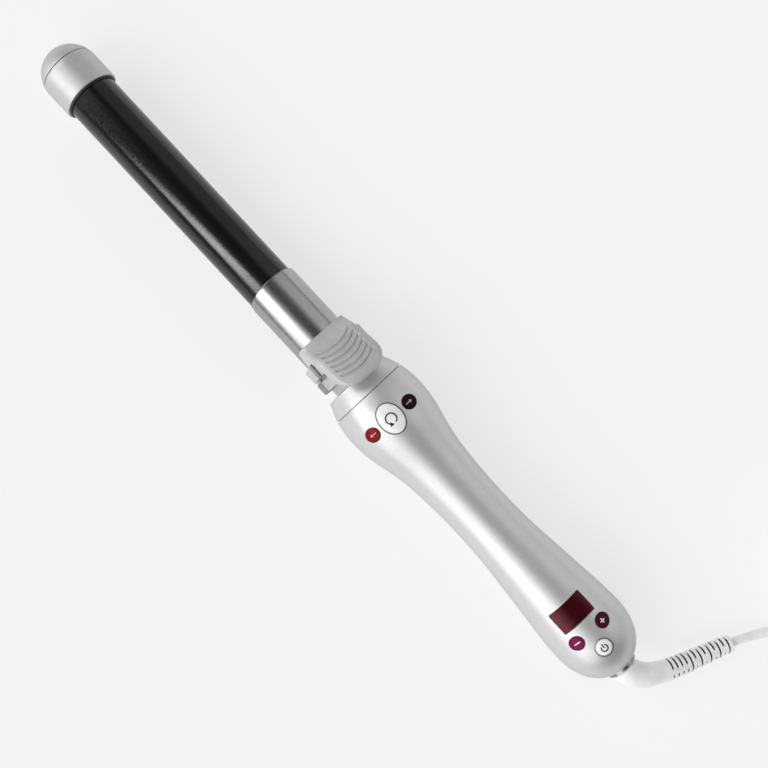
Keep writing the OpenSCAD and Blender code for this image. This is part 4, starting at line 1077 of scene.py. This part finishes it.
collar = [(RIM_X, BARREL_R + 0.02), (RIM_X + 17, BARREL_R - 2), (DOME_X - 0.2, 10.4),
          (DOME_X - 0.2, tip_at(DOME_X - 0.2) - 0.12), (DOME_X - 0.26, tip_at(DOME_X - 0.26) - 0.03)]
collar += [(DOME_X - 0.34 - 2.66 * i / 10, tip_at(DOME_X - 0.34 - 2.66 * i / 10)) for i in range(11)]
collar += [(DOME_X - 3 - i * 1.2, TIP_R) for i in range(1, 12)]
collar += [(RIM_X + 0.5, TIP_R), (RIM_X + 0.2, TIP_R - 0.08), (RIM_X + 0.05, TIP_R - 0.25), (RIM_X, TIP_R - 0.5)]
tip_sleeve = ring_lathe("tip_sleeve", collar[::-1], barrel_point, BARREL_SIDES)
keep(tip_sleeve, "barrel", "tip_silver", tip_silver, "tip_collar")

dome = [(DOME_X - 1, 10.1), (DOME_X + 0.2, 10.1), (DOME_X + 0.2, tip_at(DOME_X + 0.2) - 0.12),
        (DOME_X + 0.26, tip_at(DOME_X + 0.26) - 0.03)]
dome += [(TOTAL - DOME_A + DOME_A * sin(radians(a)), TIP_R * cos(radians(a)))
         for a in [13.5 + 76.4 * i / 40 for i in range(41)]]
tip_cap = build("tip_cap", turned(dome, BARREL_SIDES), capped_faces(len(dome), BARREL_SIDES), barrel_point, 35)
keep(tip_cap, "barrel", "tip_silver", tip_silver, "tip_dome")

# Clip blade: a bent strip with rounded front corners and softened edges

def blade_back(a):
    """How far the blade's front edge lies back at an angle from its top."""
    return 2.2 * (a / 75) ** 2 + 2.8 * (max(0, a - 75) / 10) ** 2


def make_blade():
    rows = 60
    outline = [(radians(a), BLADE_X1 - blade_back(abs(a))) for a in [-85 + 170 * i / 120 for i in range(121)]]
    points = []
    for r in (BLADE_RI, BLADE_RO):
        for i in range(rows + 1):
            for a, front in outline:
                points.append((BLADE_X0 + (front - BLADE_X0) * i / rows, r * sin(a), r * cos(a)))
    obj = build("blade", points, slab_faces(rows + 1, len(outline)), barrel_point, 40)
    bevel = obj.modifiers.new("edge", "BEVEL")
    bevel.width = 0.00018
    bevel.segments = 3
    bevel.limit_method = "ANGLE"
    bevel.angle_limit = radians(50)
    bake_modifiers(obj)
    shade(obj, 50)
    return obj


keep(make_blade(), "clip", "bright_steel", blade_steel, "clip_blade")

# Thumb pad: crowned top with arc grooves, vertical sides, hollow saddle underneath
RAMP_X = PAD_X1 - 9.6
RAMP_Z = PAD_LIP + 6.2
GROOVE_R = 19.5
EDGE_R = 2.1
CROWN = 1.5
PAD_SKIM = 0.02
SPRING_X = (FLANGE_X + SLOT_X) / 2
SPRING_BASE = BARREL_R + 2.2
SPRING_TOP = 22.1
SEAT_R = 3.5
END_L = 10.0
FLOOR_LINE = [(183, 25.9), (191.95, 23), (197.95, 21), (198.81, 20.6)]
SADDLE_X = 198.8
RIB_X = 200.6
SKIRT_X = 206.2
SKIRT_LOW = 3.6


def pad_top(x):
    if x > RAMP_X:
        return bend((RAMP_X, RAMP_Z, -0.36), (PAD_X1, PAD_LIP, -0.12), x)
    return bend((PAD_X0, PAD_HIGH, -0.22), (RAMP_X, RAMP_Z, -0.36), x)


def pad_side(x):
    """Half the pad's width at a station."""
    if x < PAD_X0 + END_L:
        return PAD_HALF * max(0, 1 - ((PAD_X0 + END_L - x) / (END_L + 0.1)) ** 2.4) ** (1 / 2.4)
    return PAD_HALF - 0.8 * ((x - PAD_X0 - END_L) / (PAD_LONG - END_L)) ** 2


def groove_cut(x, u):
    """Depth of the grip grooves: each drops sharply on its tip side and fades towards the base."""
    depth = 0.0
    for i in range(6):
        centre = RAMP_X - GROOVE_PITCH * i + GROOVE_R
        d = hypot(x - centre, u) - GROOVE_R
        if x < centre and -0.5 < d < 0.75:
            depth = max(depth, 0.8 * (1 - (d / (0.75 if d > 0 else 0.5)) ** 2))
    return depth * (1 - smooth_step(9.3, 10.6, abs(u)))


def pad_height(x, u):
    b = pad_side(x)
    height = (pad_top(x) - PAD_SKIM - CROWN * (u / PAD_HALF) ** 2 - round_off(b - abs(u), min(EDGE_R, b))
              - round_off(x - PAD_X0, 1.9) - round_off(PAD_X1 - x, 0.5) - groove_cut(x, u))
    least = pad_floor(x, u) + 0.25 - 3 * smooth_step(PAD_X0 + 2, PAD_X0 + 6, x)
    return max(height, least) if x < PAD_X0 + 6 else height


def pad_floor(x, u):
    """Underside of the pad, with the saddle that sits over the blade."""
    if hypot(x - SPRING_X, u) < SEAT_R:
        return SPRING_TOP
    if x <= SADDLE_X:
        for (x0, z0), (x1, z1) in zip(FLOOR_LINE, FLOOR_LINE[1:]):
            if x <= x1:
                return z0 + (z1 - z0) * (x - x0) / (x1 - x0)
    if x <= RIB_X and abs(u) < 3.7:
        return 20.5
    if x <= SKIRT_X:
        if abs(u) < 13.2:
            return max(16.2, 17.6 - 1.3 * (x - SADDLE_X))
        return 13.2
    if abs(u) < 13.9:
        return max(SKIRT_LOW, sqrt(max(0, 14.03 ** 2 - u * u)))
    return SKIRT_LOW


def make_pad():
    ramp_end = RAMP_X + 1.2
    xs = [PAD_X0 + d for d in (0, 0.06, 0.2, 0.4, 0.65, 0.95, 1.3, 1.7)]
    x = PAD_X0 + 2.0
    while x < ramp_end:
        xs.append(x)
        x += 0.14
    xs += [ramp_end + (PAD_X1 - 0.6 - ramp_end) * i / 22 for i in range(23)]
    xs += [PAD_X1 - d for d in (0.45, 0.32, 0.2, 0.1, 0.04, 0)]
    xs += [SADDLE_X - 0.005, SADDLE_X + 0.005, RIB_X, RIB_X + 0.005, SKIRT_X - 0.005, SKIRT_X + 0.005]
    xs = sorted(set(round(v, 4) for v in xs))
    fractions = [0, 0.03, 0.08, 0.16, 0.27, 0.4, 0.55, 0.75, 1]
    points = []
    for bottom in (False, True):
        for x in xs:
            b = pad_side(x)
            r = min(EDGE_R, b)
            across = [-b + r * q for q in fractions] + [(b - r) * (-1 + i / 28) for i in range(1, 56)]
            across += [b - r * q for q in fractions[::-1]]
            for u in across:
                z = pad_height(x, u)
                if bottom:
                    z = min(pad_floor(x, u), z - 0.3)
                points.append((x, u, z))
    return build("pad", points, slab_faces(len(xs), len(across)), barrel_point, 38)


keep(make_pad(), "clip", "light_grey_plastic", light_grey, "thumb_pad")

# Clip bracket: neck, flange, sleeve and two ears, with softened edges

def prism(outline, x0, x1, edge, shear=None):
    """A block across the axis from an outline of (u, w), with rounded ends."""
    n = len(outline)
    cu = sum(p[0] for p in outline) / n
    cw = sum(p[1] for p in outline) / n
    stations = [(x0, edge), (x0 + edge * 0.3, edge * 0.3), (x0 + edge, 0), (x1 - edge, 0),
                (x1 - edge * 0.3, edge * 0.3), (x1, edge)]
    points = []
    for x, inset in stations:
        for u, w in outline:
            k = max(0, 1 - inset / max(hypot(u - cu, w - cw), 0.5))
            px = x - shear(u) if shear is not None and x > (x0 + x1) / 2 else x
            points.append((px, cu + (u - cu) * k, cw + (w - cw) * k))
    return points, capped_faces(len(stations), n)


def soft_outline(corners, radius, side, steps=4):
    """Rounds each corner of an outline, and mirrors it for the other side."""
    out = []
    n = len(corners)
    for i in range(n):
        p = Vector(corners[i])
        a = Vector(corners[i - 1]) - p
        b = Vector(corners[(i + 1) % n]) - p
        r = min(radius, a.length * 0.45, b.length * 0.45)
        start = p + a.normalized() * r
        end = p + b.normalized() * r
        for k in range(steps + 1):
            t = k / steps
            out.append(tuple((1 - t) ** 2 * start + 2 * t * (1 - t) * p + t * t * end))
    return out if side > 0 else [(-u, w) for u, w in reversed(out)]


def ear_out(w):
    return EAR_HALF - EAR_LEAN * (EAR_WIDE - w)


def ear_tip(u):
    """How far the ear's front edge leans back at its outer side."""
    return 1.3 * smooth_step(15.6, EAR_HALF, abs(u))


BORE_R = 8
FLANGE_R = 15.6
SLEEVE_R = 13.6
EAR_IN = 14.27
neck = ring_block([(SEAM_X - 1, BORE_R), (194, BORE_R), (194, NECK_R), (FLANGE_X, NECK_R), (SEAM_X - 1, NECK_R)])
flange = ring_block([(FLANGE_X, BORE_R), (SLOT_X, BORE_R), (SLOT_X, FLANGE_R - 0.4),
                     (SLOT_X - 0.12, FLANGE_R - 0.12), (SLOT_X - 0.4, FLANGE_R), (FLANGE_X + 0.4, FLANGE_R),
                     (FLANGE_X + 0.12, FLANGE_R - 0.12), (FLANGE_X, FLANGE_R - 0.4)])
sleeve = ring_block([(SLOT_X, BARREL_R + 0.02), (BRACKET_X, BARREL_R + 0.02), (BRACKET_X, SLEEVE_R - 0.25),
                     (BRACKET_X - 0.15, SLEEVE_R - 0.05), (BRACKET_X - 0.4, SLEEVE_R), (SLOT_X, SLEEVE_R)])
blocks = [neck, flange, sleeve]
for side in (1, -1):
    lug = soft_outline([(BORE_R, -EAR_LOW), (ear_out(-EAR_LOW), -EAR_LOW), (ear_out(LUG_TOP), LUG_TOP),
                        (BORE_R, LUG_TOP)], 0.3, side)
    bridge = soft_outline([(12.4, 1 - EAR_LOW), (ear_out(1 - EAR_LOW) - 0.8, 1 - EAR_LOW),
                           (ear_out(2) - 0.8, 2), (14.3, 4.2), (12.4, 4.2)], 0.25, side)
    ear = soft_outline([(EAR_IN, -EAR_LOW), (ear_out(-EAR_LOW), -EAR_LOW), (EAR_HALF, EAR_WIDE),
                        (16.1, 12.6), (EAR_IN, 12.6)], 0.25, side)
    blocks += [prism(lug, FLANGE_X, SLOT_X, 0.3), prism(bridge, SLOT_X - 0.3, BRACKET_X, 0.2),
               prism(ear, EAR_X, BRACKET_X, 0.3, ear_tip)]
bracket = build("bracket", *merged(blocks), barrel_point)
keep(bracket, "barrel", "light_grey_plastic", light_grey, "clip_bracket")
foot = barrel_point(SPRING_X, 0, SPRING_BASE)
spring_axis = (barrel_point(SPRING_X, 0, SPRING_TOP) - foot).normalized()
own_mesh(nodes["clip_spring"])

# Floor and light
FLOOR = 20000
floor = build("floor", [(-FLOOR, -FLOOR, 0), (FLOOR, -FLOOR, 0), (FLOOR, FLOOR, 0), (-FLOOR, FLOOR, 0)],
              [(0, 1, 2, 3)], metres)
floor_mat = new_material("floor_paper", (0.26, 0.26, 0.26), 0.0, 0.9)
set_inputs(shader_of(floor_mat), {"Specular IOR Level": 0.1, "Emission Color": (1, 1, 1, 1),
                                  "Emission Strength": 0.68})
add_bump(floor_mat, 900, 0.02)
floor.data.materials.append(floor_mat)

SOFT_BOX = 1.55
SOFT_BOX_TIP = 10.5
FRONT_PANEL = 2.0
HORIZON = 0.45
world = bpy.data.worlds.new("studio")
bpy.context.scene.world = world
world.use_nodes = True
tree = world.node_tree
background = tree.nodes["Background"]


def link_in(node, index, source):
    if hasattr(source, "is_output"):
        tree.links.new(source, node.inputs[index])
    else:
        node.inputs[index].default_value = source


def math_node(operation, *sources):
    node = tree.nodes.new("ShaderNodeMath")
    node.operation = operation
    for i, source in enumerate(sources):
        link_in(node, i, source)
    return node.outputs["Value"]


def product(*sources):
    total = sources[0]
    for source in sources[1:]:
        total = math_node("MULTIPLY", total, source)
    return total


def ramp_up(source, low, high, floor_value=0.0, top=1.0):
    node = tree.nodes.new("ShaderNodeMapRange")
    node.interpolation_type = "SMOOTHSTEP"
    for i, value in enumerate((source, low, high, floor_value, top)):
        link_in(node, i, value)
    return node.outputs["Result"]


def level_ramp(source, stops):
    ramp = tree.nodes.new("ShaderNodeValToRGB").color_ramp
    node = tree.nodes[-1]
    while len(ramp.elements) < len(stops):
        ramp.elements.new(0.5)
    for element, (position, level) in zip(ramp.elements, stops):
        element.position = position
        element.color = (level, level, level, 1)
    tree.links.new(source, node.inputs["Fac"])
    return node.outputs["Color"]


# Room: a pale panel on the right, a dark gap overhead and the table's glow lower down
coord = tree.nodes.new("ShaderNodeTexCoord")
split = tree.nodes.new("ShaderNodeSeparateXYZ")
tree.links.new(coord.outputs["Generated"], split.inputs["Vector"])
sky_x, sky_y, sky_z = (split.outputs[axis] for axis in "XYZ")
lean = math_node("ARCTAN2", sky_y, sky_z)
lean_place = math_node("MULTIPLY_ADD", lean, 0.5 / pi, 0.5)
room_stops = [(-180, 0.8), (-110, 0.85), (-42, 0.85), (-32, 0.42), (-24, 0.2), (-14, 0.13), (4, 0.13),
              (12, 0.4), (66, 0.4), (80, 0.15), (94, 0.12), (108, 0.8), (180, 0.8)]
room = level_ramp(lean_place, [((angle + 180) / 360, level) for angle, level in room_stops])

# Soft box on the left: straight edges in the plane of the ceiling, brighter towards the tip
up = math_node("MAXIMUM", sky_z, 0.02)
plan_x = math_node("DIVIDE", sky_x, up)
plan_y = math_node("DIVIDE", sky_y, up)
slanted = math_node("SUBTRACT", plan_y, math_node("MULTIPLY_ADD", plan_x, 3.0, -0.18))
far_edge = ramp_up(sky_x, 0.12, 0.17, 4.2, 2.2)
inside = math_node("SUBTRACT", far_edge, plan_y)
fade = ramp_up(sky_x, 0.12, 0.17, 1.0, ramp_up(plan_y, 2.8, 0.8))
box = product(ramp_up(slanted, 0.0, 0.1), ramp_up(inside, -0.15, 0.15), ramp_up(plan_y, 0.1, 0.7), fade,
              ramp_up(sky_x, 0.13, 0.18, SOFT_BOX, SOFT_BOX_TIP))

# Panel beyond the tip, which lights the front shoulder
front = product(ramp_up(sky_x, 0.37, 0.47), ramp_up(sky_x, 0.9, 0.8), ramp_up(lean, -0.35, 0.0),
                ramp_up(lean, 1.5, 1.2, 0.0, FRONT_PANEL))
room = product(room, ramp_up(sky_x, 0.12, 0.18, 1.0, 0.5))
ends = level_ramp(math_node("MULTIPLY_ADD", sky_x, 0.5, 0.5),
                  [(0, 0.02), (0.09, 0.03), (0.17, 0.4), (0.24, 1), (0.88, 1), (1, 0.5)])
glow = math_node("ADD", math_node("ADD", room, box), front)

# Even pale wall along the horizon
glow = product(glow, ends, ramp_up(sky_z, 0.16, 0.25))
glow = math_node("ADD", glow, ramp_up(sky_z, 0.25, 0.16, 0.0, HORIZON))
tree.links.new(glow, background.inputs["Strength"])
background.inputs["Color"].default_value = (1, 1, 1, 1)

bpy.context.scene.view_settings.view_transform = "Standard"
